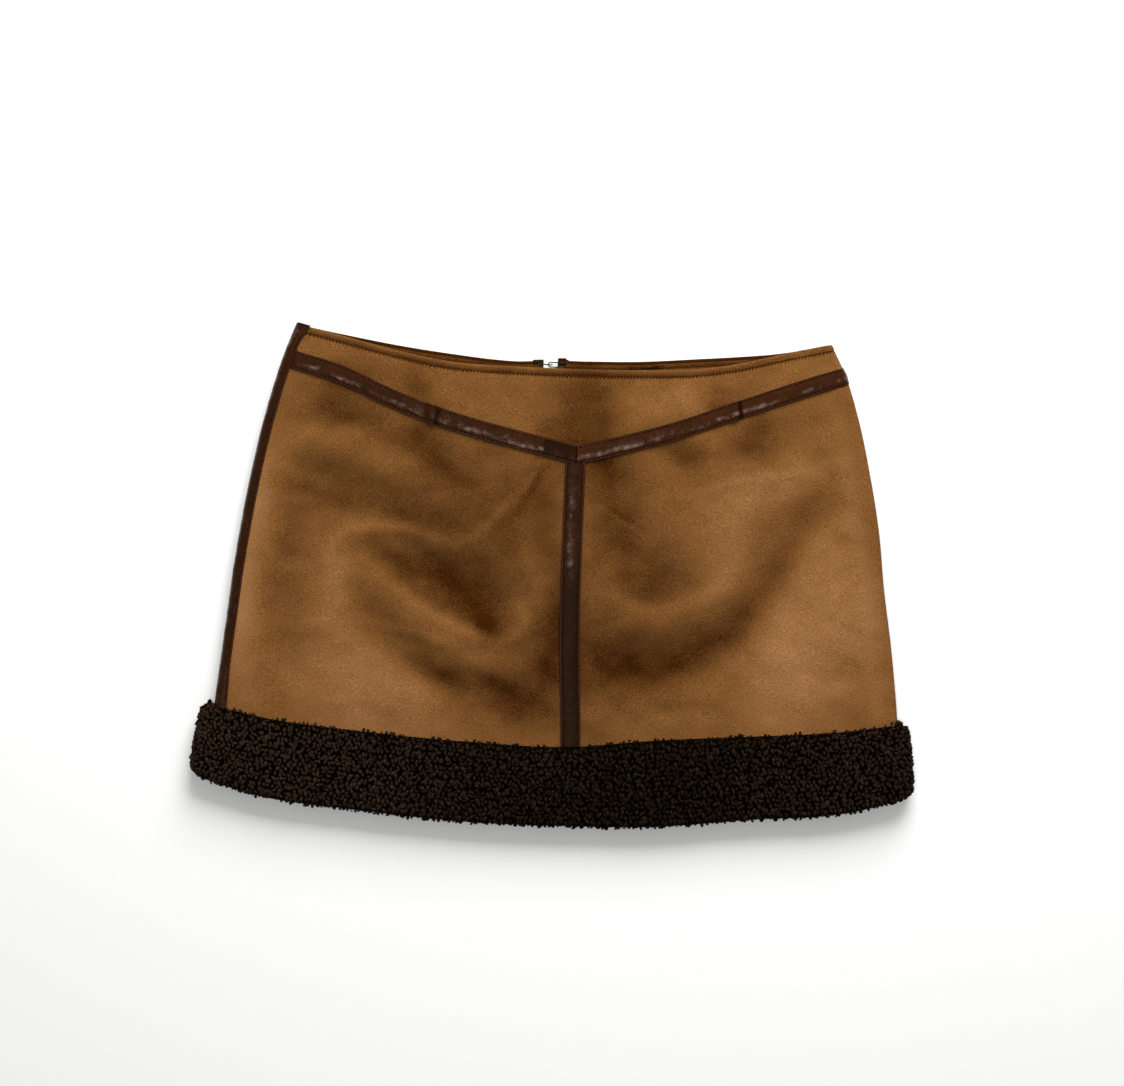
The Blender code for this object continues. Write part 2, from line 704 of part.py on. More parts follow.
def make_band(materials):
    """The pile band, in a front and a back piece with the skirt's own side seams."""
    half = BAND_SEAM_GAP / 2

    def at_top(s, y):
        x, _ = BAND.place(s, y)
        return band_top(x) - HEM_GAP / 2

    def at_hem(s, y):
        x, _ = BAND.place(s, y)
        return hem_edge(x)

    top_rows = [(above(at_top, -row.inset), 1) for row in BAND_ROUND]
    hem_rows = [(above(at_hem, row.inset), 1) for row in reversed(BAND_ROUND)]
    top_rows[-1] = (top_rows[-1][0], 4)
    hem_rows[-1] = (hem_rows[-1][0], 0)
    heights = Lines(*top_rows, *hem_rows)
    drops = [row.drop for row in BAND_ROUND]
    last = heights.count

    def pile(c, r, s, y):
        row = np.minimum(r, last - r)
        drop = np.interp(row, range(len(drops) + 1), [*drops, 0.0])
        return -drop

    def backing(c, r, s, y):
        _, share = BAND.place(s, y)
        return -(BAND_WALL_BACK + (BAND_WALL_FRONT - BAND_WALL_BACK) * share)

    def seam_left(y):
        return BAND.left_turn(y) + LEFT_SEAM_FORWARD

    def seam_right(y):
        return BAND.right_turn(y) + RIGHT_SEAM_BEHIND

    def seam_right_behind(y):
        radius = BAND.radius(BAND.right(y), y)
        x = BAND.right(y) - radius - RIGHT_SEAM_BEHIND + radius * math.pi / 2
        return BAND.round_left(x, y)

    def fold_left(y):
        return BAND.left(y) + BAND_TURN

    def fold_right(y):
        return BAND.right(y) - BAND_TURN

    def back_of_left(y):
        return BAND.left_turn(y) - BACK_TURN

    front = Lines(
        (beside(seam_left, half), 3),
        (fold_left, 26),
        (fold_right, 8),
        (beside(seam_right, -half), 0),
    )
    back = Lines(
        (beside(seam_right_behind, half), 18),
        (back_of_left, 6),
        (beside(seam_left, -half), 0),
    )
    pile_material = materials["pile"]
    cloth("hem_band_front", pile_material, BAND, front, heights, pile, backing, BAND_START_Y)
    cloth("hem_band_back", pile_material, BAND, back, heights, pile, backing, BAND_START_Y)


def make_zip(materials):
    """The zip's tapes with the closed row of teeth raised between the back strips."""

    def at(offset):
        return lambda y: SUEDE.round_right(centre_back(y) - offset, y)

    halves = (TEETH_HALF_WIDTH, TEETH_FOOT, TAPE_HALF_WIDTH / 2, TAPE_HALF_WIDTH)
    across = [-offset for offset in reversed(halves)] + list(halves)
    girth = Lines(*[(at(offset), 1) for offset in across])
    heights = Lines(
        (at_height(ZIP_TOP), 2),
        (at_height(RISE_END), 3),
        (at_height(RISE_END - SLIDER_RAMP), 6),
        (at_height(ZIP_END), 0),
    )
    face = -SUEDE_WALL - SEAM_GAP

    def outside(c, r, s, y):
        teeth = (c > 2.5) & (c < 4.5)
        return np.where(teeth, TEETH_FACE, face)

    cloth("zip_tape", materials["zip_cloth"], SUEDE, girth, heights, outside, level(face - TAPE_WALL))


def slider_levels():
    """Heights at the slider: its plate's top and underside, and the tab's hinge axis."""
    x = float(centre_back(SLIDER_Y))
    outside = float(suede_bottom(np.array(x), np.array(SLIDER_Y)))
    plate_top = outside - TEETH_FACE - SEAM_GAP
    plate_under = plate_top - SLIDER_PLATE[2]
    return x, plate_top, plate_under, plate_under - BRIDGE_CLEAR / 2


def extruded(bm, outlines, along, thickness):
    """A closed plate from flat outlines, the first its edge and the rest its holes."""
    edges = []
    for outline in outlines:
        verts = [bm.verts.new(point) for point in outline]
        edges += [bm.edges.new((verts[i - 1], verts[i])) for i in range(len(verts))]
    filled = bmesh.ops.triangle_fill(bm, use_beauty=True, edges=edges)
    faces = [item for item in filled["geom"] if isinstance(item, bmesh.types.BMFace)]
    raised = bmesh.ops.extrude_face_region(bm, geom=faces)
    far = [item for item in raised["geom"] if isinstance(item, bmesh.types.BMVert)]
    bmesh.ops.translate(bm, verts=far, vec=Vector(along) * thickness)
    bmesh.ops.recalc_face_normals(bm, faces=bm.faces[:])


def make_slider(materials):
    """The slider's plate with the bridge that holds the pull tab."""
    x, plate_top, plate_under, _ = slider_levels()
    width, length, thick = BRIDGE_SIZE
    metal = materials["metal"]

    plate = bmesh.new()
    bmesh.ops.create_cube(plate, size=1.0)
    bmesh.ops.scale(plate, verts=plate.verts[:], vec=SLIDER_PLATE)
    bmesh.ops.translate(plate, verts=plate.verts[:], vec=(x, SLIDER_Y, (plate_top + plate_under) / 2))
    slider = finish("zip_slider", metal, plate)

    root = plate_under + SLIDER_PLATE[2] / 2
    inner = plate_under - BRIDGE_CLEAR
    ends = (SLIDER_Y - length / 2, SLIDER_Y + length / 2)
    legs = (ends[0] + BRIDGE_LEG, ends[1] - BRIDGE_LEG)
    shape = (
        (ends[0], root),
        (ends[0], inner - thick),
        (ends[1], inner - thick),
        (ends[1], root),
        (legs[1], root),
        (legs[1], inner),
        (legs[0], inner),
        (legs[0], root),
    )
    arch = bmesh.new()
    extruded(arch, [[(x - width / 2, py, pz) for py, pz in shape]], (1, 0, 0), width)
    bridge = finish("zip_bridge", metal, arch)
    bridge.hide_render = True
    bridge.display_type = "WIRE"
    union = slider.modifiers.new("bridge", "BOOLEAN")
    union.operation = "UNION"
    union.solver = "EXACT"
    union.object = bridge


def make_pull_tab(materials):
    """A flat tab whose hole takes the bridge; its near bar is the hinge."""
    x, _, _, hinge_z = slider_levels()
    width, length, thick = TAB_SIZE
    hole_width, hole_length = TAB_HOLE
    edge = (
        (-width / 2, TAB_EYE),
        (-width / 2, -length + TAB_CORNER),
        (-width / 2 + TAB_CORNER, -length),
        (width / 2 - TAB_CORNER, -length),
        (width / 2, -length + TAB_CORNER),
        (width / 2, TAB_EYE),
    )
    hole = (
        (-hole_width / 2, -TAB_EYE),
        (-hole_width / 2, -TAB_EYE - hole_length),
        (hole_width / 2, -TAB_EYE - hole_length),
        (hole_width / 2, -TAB_EYE),
    )
    under = hinge_z - thick / 2
    outlines = [[(x + px, SLIDER_Y + py, under) for px, py in ring] for ring in (edge, hole)]
    bm = bmesh.new()
    extruded(bm, outlines, (0, 0, 1), thick)
    finish("zip_pull_tab", materials["metal"], bm)


def wire(name, material, path):
    """A bent wire through a path's points, with closed ends."""
    data = bpy.data.curves.new(name, "CURVE")
    data.dimensions = "3D"
    data.bevel_depth = HOOK_WIRE * MM
    data.bevel_resolution = 1
    data.use_fill_caps = True
    spline = data.splines.new("POLY")
    spline.points.add(len(path) - 1)
    for point, (x, y, z) in zip(spline.points, path):
        point.co = ((x - CENTRE[0]) * MM, (y - CENTRE[1]) * MM, z * MM, 1.0)
    data.materials.append(material)
    item = bpy.data.objects.new(name, data)
    bpy.context.scene.collection.objects.link(item)
    return item


def make_hook_and_eye(materials):
    """The eye's loop reaches over the gap above the zip, and the hook's end passes under it."""
    x = float(centre_back(HOOK_Y))
    inside = float(suede_bottom(np.array(x), np.array(HOOK_Y))) + SUEDE_WALL
    bar = inside + SEAM_GAP + HOOK_WIRE
    loop = [(x + HOOK_REACH, HOOK_Y - EYE_SPREAD, bar), (x + EYE_NECK, HOOK_Y - EYE_RADIUS, bar)]
    for step in range(EYE_STEPS + 1):
        angle = -math.pi / 2 - math.pi * step / EYE_STEPS
        round_x = x + EYE_RADIUS * math.cos(angle)
        loop.append((round_x, HOOK_Y + EYE_RADIUS * math.sin(angle), bar))
    loop += [(x + EYE_NECK, HOOK_Y + EYE_RADIUS, bar), (x + HOOK_REACH, HOOK_Y + EYE_SPREAD, bar)]
    wire("waist_eye", materials["metal"], loop)

    low = bar - 2 * HOOK_WIRE - SEAM_GAP
    hook = [(x - HOOK_REACH, HOOK_Y, bar), (x - HOOK_BEND[0], HOOK_Y, bar)]
    hook += [(x - HOOK_BEND[1], HOOK_Y, low), (x + HOOK_TIP[0], HOOK_Y, low)]
    hook += [(x + HOOK_TIP[1], HOOK_Y, (bar + low) / 2), (x + HOOK_TIP[2], HOOK_Y, bar)]
    wire("waist_hook", materials["metal"], hook)


def main():
    clear_scene()
    materials = make_materials()
    make_front(materials)
    make_back(materials)
    make_strips(materials)
    make_band(materials)
    make_zip(materials)
    make_slider(materials)
    make_pull_tab(materials)
    make_hook_and_eye(materials)


main()
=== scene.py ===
"""Looks of the low-rise mini skirt: suede cloth, leather strips, curly pile hem band, back zip.

Lengths are millimetres of the plan, with the floor at z = 0, until a mesh is written, which MM
turns into metres. The skirt lies on its back, front up: X across, +Y from the hem to the waist.
"""

import math
from collections import namedtuple

import bmesh
import bpy
import numpy as np
from bpy.props import FloatProperty, FloatVectorProperty, PointerProperty
from mathutils import Matrix, Vector


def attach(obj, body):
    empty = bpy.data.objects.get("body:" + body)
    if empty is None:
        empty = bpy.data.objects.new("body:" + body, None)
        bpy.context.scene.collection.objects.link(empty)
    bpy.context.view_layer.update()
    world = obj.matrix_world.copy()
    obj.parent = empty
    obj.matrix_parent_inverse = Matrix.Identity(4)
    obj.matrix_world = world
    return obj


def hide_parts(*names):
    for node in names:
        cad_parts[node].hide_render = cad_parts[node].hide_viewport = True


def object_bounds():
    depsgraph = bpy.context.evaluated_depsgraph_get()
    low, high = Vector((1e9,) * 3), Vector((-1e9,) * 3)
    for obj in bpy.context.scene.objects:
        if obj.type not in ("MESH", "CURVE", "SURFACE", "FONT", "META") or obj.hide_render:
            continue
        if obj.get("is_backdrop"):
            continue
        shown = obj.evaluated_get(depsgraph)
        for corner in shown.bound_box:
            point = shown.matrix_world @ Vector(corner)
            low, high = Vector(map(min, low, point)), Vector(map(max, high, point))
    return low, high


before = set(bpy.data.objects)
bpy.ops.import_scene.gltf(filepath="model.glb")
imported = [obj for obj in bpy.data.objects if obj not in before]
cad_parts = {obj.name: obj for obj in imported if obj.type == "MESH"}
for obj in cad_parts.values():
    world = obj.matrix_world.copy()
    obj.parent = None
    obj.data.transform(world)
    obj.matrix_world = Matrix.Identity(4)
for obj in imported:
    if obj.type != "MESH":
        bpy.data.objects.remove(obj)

bl_info = {
    "name": "Suede Skirt with Pile Hem",
    "version": (1, 0, 0),
    "blender": (4, 5, 0),
    "location": "View3D > Sidebar > Skirt",
    "description": "Builds the cloth, leather, pile and zip of a mini skirt that lies flat",
    "category": "Object",
}

MM = 0.001
CAD_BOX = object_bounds()
SKIRT_BODY = "skirt"

# Driving sizes, the same as the solids'
CENTRE = (-0.07, 0.62)
SUEDE_WALL = 1.8
SEAM_GAP = 0.3
YOKE_SEAM_GAP = 0.9
HEM_GAP = 0.6
BAND_SEAM_GAP = 1.0
LEFT_SEAM_GAP = 0.6
SIDE_STRIP_LIFT = 0.45
STRIP_WALL = 1.4
STRIP_WIDTH = 12.6
CENTRE_STRIP_WIDTH = 14.0
BACK_STRIP_WIDTH = 7.4
STRIP_OVERHANG = 1.0
MOUTH_HEIGHT = 11.0
BODY_HEIGHT = 13.0
MOUTH_SLOPE = 40.0
BAND_HEIGHT = 19.0
BAND_WALL_FRONT = 7.0
BAND_WALL_BACK = 6.0
BAND_STEP = 4.2
BAND_RAMP = 35.0
LEFT_SEAM_FORWARD = 5.6
RIGHT_SEAM_BEHIND = 17.0
RIGHT_STRIP_INSET = 13.3
SIDE_TURN = 15.0
SIDE_CLEAR = 4.0
SIDE_FADE = 32.0
BAND_FADE = 22.0
WAIST_FADE = 25.0
WAIST_SHARE = 0.35
CENTRE_LOSS = 0.35
CENTRE_FADE = 9.0
CENTRE_FLAT = 13.5
SIDE_FLAT = 10.0
STRIP_RAMP = 10.0

ZIP_TOP = 146.0
ZIP_END = -32.0
ZIP_CLOSE = 18.0
ZIP_HALF_GAP = 3.8
ZIP_STRIP_CLEAR = 0.7
TAPE_HALF_WIDTH = 12.0
TAPE_WALL = 0.9
SLIDER_Y = 137.0
SLIDER_RISE = 2.6
SLIDER_FLAT = (7.0, 19.0)
SLIDER_AHEAD = 6.0
SLIDER_RAMP = 16.0
SLIDER_SIDE_RAMP = 16.5
RISE_END = SLIDER_Y - SLIDER_AHEAD - SLIDER_FLAT[1]

YOKE_START_Y = 120.0
BAND_START_Y = -130.0


def rows(kind, *values):
    """A table: each row's values under the names of its kind."""
    return tuple(kind(*row) for row in values)


# Sides of the suede: height up the skirt, left and right ends of the flat tube
Side = namedtuple("Side", "y left right")
SUEDE_SIDES = rows(
    Side,
    (172, -190.5, 184.7), (152, -197.4, 194.6), (122, -206.0, 205.0), (82, -214.9, 215.0),
    (42, -221.7, 222.9), (2, -227.1, 228.0), (-38, -231.1, 234.5), (-78, -235.1, 239.6),
    (-118, -238.6, 243.0),
)
BAND_SIDES = rows(
    Side,
    (-88, -246.0, 249.0), (-108, -250.0, 251.6), (-126, -252.8, 253.4), (-140, -254.0, 254.0),
    (-152, -252.6, 252.4),
)

# Edges across the skirt: place across, and the height of each edge there
Edge = namedtuple("Edge", "x front back")
WAIST = rows(
    Edge,
    (-191, 172.0, 172.0), (-157, 164.5, 166.2), (-120, 156.2, 160.4), (-83, 150.0, 156.0),
    (-40, 148.3, 152.6), (8, 148.2, 154.2), (50, 149.0, 155.6), (92, 151.6, 159.2),
    (120, 156.4, 161.8), (146, 163.2, 164.8), (184, 172.4, 172.4),
)
Hem = namedtuple("Hem", "x band_top hem")
HEMS = rows(
    Hem,
    (-252, -94.5, -146.5), (-204, -104.8, -159.4), (-140, -111.2, -166.2), (-60, -116.0, -171.6),
    (8, -117.0, -172.0), (74, -109.8, -170.0), (140, -104.4, -162.4), (204, -98.6, -155.8),
    (252, -90.5, -143.0),
)

# The yoke's slanted seam, left and right of its point
Slant = namedtuple("Slant", "x y")
YOKE_LEFT = (Slant(-188.7, 145.9), Slant(-90.6, 111.3), Slant(8.6, 88.5))
YOKE_RIGHT = (Slant(8.6, 88.5), Slant(120.6, 122.8), Slant(192.7, 149.5))
# How the sewn seam sways off its plain line
YOKE_SWAY = rows(
    Slant,
    (-195, -0.6), (-184, 0.1), (-170, 1.7), (-156, 2.5), (-142, 1.9), (-128, 0.8), (-112, 0.2),
    (-90, -0.1), (-50, -0.6), (8.6, -1.1), (40, -1.9), (80, -1.6), (96, -0.6), (113, 0.4),
    (141, 1.0), (169, 0.8), (184, 0.3), (195, -0.2),
)
YOKE_STRIP_RISE = 6.6
LEFT_JOIN_X = -90.6
TIP_JOIN_X = -15.0
RIGHT_JOIN_X = 120.6

# The centre lines: height up the skirt, centre front and centre back
Centre = namedtuple("Centre", "y front back")
CENTRES = rows(
    Centre,
    (172, 8.5, -12.4), (80, 7.9, -12.0), (-42, 8.8, -11.0), (-115, 12.3, -9.5),
    (-172, 13.5, -8.5),
)

# The front's large folds, as in the solids: each runs on a bow from its start past its middle
Fold = namedtuple("Fold", "x0 y0 x1 y1 x2 y2 width height")
FOLDS = rows(
    Fold,
    (-98, 110, -88, 86, -66, 60, 9, -2.4), (-184, 114, -160, 108, -136, 106, 9, -1.5),
    (-205, 88, -140, 86, -78, 46, 11, 2.0), (-192, 70, -140, 64, -74, 28, 12, -3.4),
    (-170, 12, -130, 44, -62, 24, 9, 1.6), (-136, 24, -80, 13, -34, -31, 13, -6.2),
    (-140, -2, -49, -90, -10, -10, 9, 2.4), (-152, -10, -71, -106, -6, -76, 10, -3.6),
    (-165, -36, -130, -72, -88, -98, 20, 1.8), (-198, 22, -193, -28, -188, -84, 10, -1.4),
    (56, 100, 76, 90, 90, 74, 8, -2.0), (118, 136, 130, 122, 142, 104, 7, -1.2),
    (38, 80, 42, -18, 88, 4, 13, -3.8), (28, 12, 55, -82, 122, 32, 9, 2.2),
    (122, 30, 132, 76, 166, 106, 12, 1.4), (22, -58, 95, -76, 132, -10, 12, -5.4),
    (130, -16, 148, 46, 198, 66, 11, -3.6), (150, -68, 186, -18, 190, 34, 22, 2.0),
    (14, 146, 14, 122, 16, 98, 14, -1.6),
)
# Finer creases and seam puckers that lie on them
CREASES = rows(
    Fold,
    (-156, 27, -116, 38, -74, 20, 3.2, 0.38), (-76, 20, -54, 22, -17, 80, 3.0, 0.34),
    (-138, 8, -88, -38, -38, -47, 3.6, 0.38), (-44, -47, -7, -40, -34, -16, 3.0, 0.34),
    (46, -15, 71, -29, 108, -7, 4.0, 0.34), (28, 52, 44, 42, 60, 33, 1.8, 0.30),
    (-96, 82, -80, 74, -60, 60, 4.0, -0.24), (-32, 44, -22, 62, -14, 80, 2.4, -0.36),
    (100, 133, 108, 136, 118, 131, 3.4, -0.34), (-17, 85, -24, 70, -35, 52, 2.6, -0.5),
    (-150, 118, -140, 100, -146, 84, 5, 0.5), (-128, 112, -120, 96, -126, 78, 4, -0.4),
    (-60, 92, -52, 74, -54, 52, 5, 0.5), (-44, 90, -38, 66, -42, 44, 4, -0.4),
    (-206, 50, -190, 46, -172, 48, 4, 0.4), (-212, 10, -196, 4, -170, 8, 5, -0.4),
    (-218, -34, -190, -44, -160, -38, 6, 0.5), (-120, -78, -90, -84, -60, -98, 6, 0.5),
    (-30, 20, -18, 0, -14, -24, 4, 0.5), (-20, -44, -10, -62, -12, -90, 4, -0.5),
    (24, 66, 30, 40, 26, 12, 4, 0.5), (36, 98, 44, 80, 42, 58, 4, -0.4),
    (96, 112, 104, 92, 100, 70, 4, 0.5), (150, 128, 156, 108, 150, 88, 5, -0.5),
    (178, 136, 182, 116, 178, 94, 4, 0.4), (206, 70, 196, 40, 204, 8, 5, -0.4),
    (216, 0, 204, -30, 212, -62, 6, 0.5), (60, -92, 90, -86, 124, -92, 6, -0.6),
    (168, -60, 186, -66, 210, -58, 6, -0.5), (80, 142, 84, 128, 78, 112, 3.4, 0.5),
    (66, 144, 68, 134, 64, 122, 2.6, -0.5), (-100, 146, -96, 136, -102, 124, 4, 0.4),
    (-48, 144, -44, 128, -50, 112, 4, -0.4),
)
# Shallow creases of the back, which the skirt lies on
BACK_CREASES = rows(
    Fold,
    (-200, 100, -150, 84, -92, 92, 7, 0.5), (-180, 20, -120, 36, -60, 12, 9, 0.6),
    (-206, -30, -140, -22, -80, -52, 8, 0.5), (-120, 140, -104, 120, -112, 96, 6, 0.4),
    (-60, -20, -48, -52, -64, -84, 7, 0.5), (40, 110, 96, 98, 170, 116, 8, 0.5),
    (30, 40, 92, 20, 150, 44, 9, 0.6), (48, -40, 110, -60, 186, -40, 8, 0.5),
    (80, 140, 84, 122, 72, 100, 6, 0.4),
)
# Painted shade: how much darker the suede is painted where its slope faces the hem, away from the
# light
PAINTED_SHADE_SLOPE = 1.1
FOLD_SAMPLES = 17
FOLD_END = 0.12

# Where the suede is painted darker or lighter: partly its brushed nap, partly painted shade in the
# folds' troughs and painted light on their ridges; like a fold, with a tone for a height
NAP_AND_SHADE_DABS = rows(
    Fold,
    (-129, 8, -86, -1, -30, -42, 12, -0.80), (-140, -22, -103, -79, -4, -92, 10, -0.69),
    (-18, -100, 7, -34, 5, 16, 10, -0.41), (-203, 61, -147, 46, -65, 34, 7, -0.45),
    (-103, 108, -101, 73, -65, 59, 8, -0.56), (-183, 112, -165, 98, -133, 105, 10, -0.56),
    (-53, 75, -36, 45, -16, 0, 25, -0.44), (-206, 101, -235, 21, -220, -95, 10, 0.5),
    (-136, -15, -105, -67, -43, -59, 8, 0.51), (-178, -57, -144, -78, -84, -112, 22, 0.53),
    (-192, -3, -203, -40, -193, -71, 10, -0.19), (-158, 20, -160, 1, -151, -22, 8, 0.32),
    (13, 145, 18, 119, 5, 81, 17, -0.64), (-24, 110, -17, 102, -13, 93, 8, -0.14),
    (-113, 143, -105, 130, -100, 121, 9, -0.51), (19, 81, 29, 84, 44, 79, 9, -0.35),
    (33, 74, 31, -41, 102, 5, 12, -0.56), (17, -67, 84, -83, 129, -27, 10, -0.70),
    (122, -42, 144, 10, 185, 58, 8, -0.49), (23, -17, 25, -49, 22, -101, 17, -0.34),
    (88, -22, 115, -8, 131, 34, 8, 0.46), (116, 54, 149, 70, 182, 82, 13, 0.36),
    (165, -13, 158, -60, 157, -106, 21, 0.52), (184, 32, 182, -4, 207, -75, 19, 0.36),
    (138, 121, 137, 104, 125, 91, 12, -0.63), (64, 88, 83, 82, 100, 86, 12, -0.31),
    (188, 123, 210, 39, 227, -84, 6, 0.21), (98, 133, 108, 124, 113, 116, 7, -0.47),
    (69, 129, 84, 134, 98, 135, 8, 0.20), (-80, 124, -66, 117, -51, 115, 8, -0.07),
    (-175, 133, -152, 142, -131, 130, 10, -0.37), (100, 21, 108, 40, 102, 66, 14, 0.15),
    (-103, 27, -80, 20, -65, 21, 5, 0.32), (-102, 86, -120, 96, -144, 94, 10, -0.32),
    (59, 60, 69, 40, 67, 20, 16, -0.13), (-156, 27, -116, 38, -74, 20, 3.0, 0.13),
    (-76, 20, -54, 22, -17, 80, 2.8, 0.10), (-138, 8, -88, -38, -38, -47, 3.4, 0.12),
    (-44, -47, -7, -40, -34, -16, 2.8, 0.15), (46, -15, 71, -29, 108, -7, 3.8, 0.09),
    (28, 51, 44, 41, 60, 33, 1.5, 0.22), (29, 54, 45, 44, 61, 35, 1.4, -0.26),
    (-96, 82, -80, 74, -60, 60, 4.0, -0.06), (-31, 44, -21, 62, -13, 80, 2.2, -0.20),
    (-64, -34, -50, -37, -38, -34, 7, -0.34), (-64, 91, -55, 88, -42, 84, 5, -0.18),
    (-8, 84, -18, 60, -8, 30, 7, -0.18), (86, 98, 94, 96, 102, 98, 6, -0.10),
    (-146, 27, -122, 24, -104, 22, 6, 0.12), (-150, 72, -120, 68, -98, 56, 7, 0.12),
    (-92, -76, -66, -80, -48, -86, 5, 0.12), (-68, -94, -40, -103, -16, -92, 6, -0.2),
    (36, 34, 38, 14, 38, -10, 7, 0.14), (20, -50, 26, -70, 32, -88, 6, 0.12),
    (58, -42, 66, -50, 72, -56, 6, 0.13), (4, -98, 20, -108, 36, -104, 8, -0.16),
    (8, 128, 12, 112, 10, 98, 5, 0.12), (26, 128, 28, 114, 27, 98, 4, -0.12),
    (-190, 46, -182, 28, -192, 0, 9, -0.10), (150, 112, 166, 116, 184, 128, 6, -0.14),
    (-190, 82, -184, 76, -178, 70, 4, -0.12), (-163, 2, -161, 16, -155, 30, 3, 0.10),
    (118, 74, 146, 80, 174, 83, 1.8, 0.16), (88, 62, 104, 70, 124, 76, 2.0, 0.12),
    (-136, -33, -104, -38, -74, -46, 2.0, 0.15), (-140, -38, -108, -43, -78, -52, 2.0, -0.12),
    (186, -18, 198, -24, 212, -28, 1.8, -0.16), (184, -40, 200, -44, 214, -52, 2.0, -0.14),
    (190, 40, 200, 34, 212, 36, 1.8, -0.12), (-196, 96, -168, 102, -134, 96, 4, 0.14),
    (-55, -34, -46, -38, -36, -35, 6, -0.32), (-64, -32, -60, -38, -56, -46, 4, 0.14),
    (-100, 119, -92, 115, -82, 111, 4, -0.20), (-140, 14, -118, 10, -92, 2, 7, -0.20),
    (-94, -5, -86, -8, -78, -10, 6, 0.15), (-92, -34, -80, -37, -72, -36, 6, -0.12),
    (-68, -56, -50, -60, -30, -50, 5, 0.19), (-68, -71, -54, -76, -38, -83, 5, 0.30),
    (-94, -76, -74, -83, -54, -91, 6, -0.20), (-126, -40, -110, -48, -94, -52, 5, 0.14),
    (-156, -82, -134, -90, -104, -88, 10, -0.13), (-44, -72, -36, -76, -26, -80, 6, -0.10),
    (28, 129, 42, 131, 56, 128, 8, 0.12), (-12, 130, -8, 122, -4, 116, 6, 0.12),
    (-30, 114, -26, 104, -24, 98, 6, 0.12), (18, 118, 20, 108, 20, 100, 5, 0.10),
    (106, 134, 110, 131, 114, 128, 4, -0.12), (-198, 84, -186, 80, -174, 78, 7, 0.15),
    (-104, 94, -98, 84, -90, 78, 5, 0.15), (-118, 78, -108, 72, -98, 68, 6, -0.12),
    (-188, 66, -176, 62, -164, 58, 6, -0.12), (-24, 52, -22, 32, -20, 10, 7, 0.15),
    (-96, 26, -76, 22, -60, 30, 6, -0.12), (-124, 24, -112, 20, -98, 14, 4, 0.14),
    (-196, 38, -176, 38, -150, 40, 8, -0.10), (-212, 22, -206, 10, -200, 0, 7, 0.12),
    (54, -22, 64, -18, 82, -8, 6, -0.18), (36, -46, 48, -52, 64, -58, 6, -0.14),
    (60, -36, 74, -42, 88, -46, 6, 0.13), (20, -48, 22, -54, 26, -60, 5, 0.15),
    (34, -68, 40, -72, 48, -76, 5, 0.12), (178, 6, 184, -8, 190, -22, 8, -0.10),
    (130, -26, 142, -22, 156, -20, 7, -0.10), (40, 24, 46, 14, 60, 8, 6, 0.10),
)


# ---- the skirt's surfaces -------------------------------------------------------------------


def smooth(t):
    t = np.clip(t, 0.0, 1.0)
    return t * t * (3.0 - 2.0 * t)


def bell(distance, width):
    """1 at no distance, and softly down to 0 past the width."""
    return np.exp(-((distance / width) ** 2))


def curve(knots, values):
    """A smooth function through a table's rows, straight past its ends."""
    order = np.argsort(knots)
    x = np.asarray(knots, float)[order]
    y = np.asarray(values, float)[order]
    slope = np.gradient(y, x)

    def at(t):
        t = np.asarray(t, float)
        inside = np.clip(t, x[0], x[-1])
        i = np.clip(np.searchsorted(x, inside) - 1, 0, len(x) - 2)
        h = x[i + 1] - x[i]
        u = (inside - x[i]) / h
        start = (1 + 2 * u) * (1 - u) ** 2 * y[i] + u * (1 - u) ** 2 * h * slope[i]
        end = u * u * (3 - 2 * u) * y[i + 1] - u * u * (1 - u) * h * slope[i + 1]
        past = (t - inside) * np.where(t < x[0], slope[0], slope[-1])
        return start + end + past

    return at


def column(table, knot, value):
    """A smooth function from one named column of a table to another."""
    return curve([getattr(row, knot) for row in table], [getattr(row, value) for row in table])


waist_front = column(WAIST, "x", "front")
waist_back = column(WAIST, "x", "back")
band_top = column(HEMS, "x", "band_top")
hem_edge = column(HEMS, "x", "hem")
centre_front = column(CENTRES, "y", "front")
centre_back = column(CENTRES, "y", "back")
yoke_left = column(YOKE_LEFT, "x", "y")
yoke_right = column(YOKE_RIGHT, "x", "y")
suede_right = column(SUEDE_SIDES, "y", "right")
suede_left = column(SUEDE_SIDES, "y", "left")
yoke_sway = column(YOKE_SWAY, "x", "y")


def yoke_seam(s):
    plain_line = np.where(s < YOKE_LEFT[-1].x, yoke_left(s), yoke_right(s))
    return plain_line + yoke_sway(np.clip(s, YOKE_SWAY[0].x, YOKE_SWAY[-1].x))


def dabs(folds, x, y):
    """The sum of a table's folds: soft round dabs along each bow add up to a trough or ridge."""
    relief = np.zeros(np.broadcast(x, y).shape)
    for fold in folds:
        for t in np.linspace(0, 1, FOLD_SAMPLES):
            px = (1 - t) ** 2 * fold.x0 + 2 * t * (1 - t) * fold.x1 + t * t * fold.x2
            py = (1 - t) ** 2 * fold.y0 + 2 * t * (1 - t) * fold.y1 + t * t * fold.y2
            run_x = 2 * (1 - t) * (fold.x1 - fold.x0) + 2 * t * (fold.x2 - fold.x1)
            run_y = 2 * (1 - t) * (fold.y1 - fold.y0) + 2 * t * (fold.y2 - fold.y1)
            step = math.hypot(run_x, run_y) / (FOLD_SAMPLES - 1)
            full = math.sin(math.pi * (FOLD_END + (1 - 2 * FOLD_END) * t))
            dab = fold.height * full * step / (fold.width * math.sqrt(2 * math.pi))
            away = ((x - px) ** 2 + (y - py) ** 2) / (2.0 * fold.width**2)
            relief = relief + dab * np.exp(-away)
    return relief


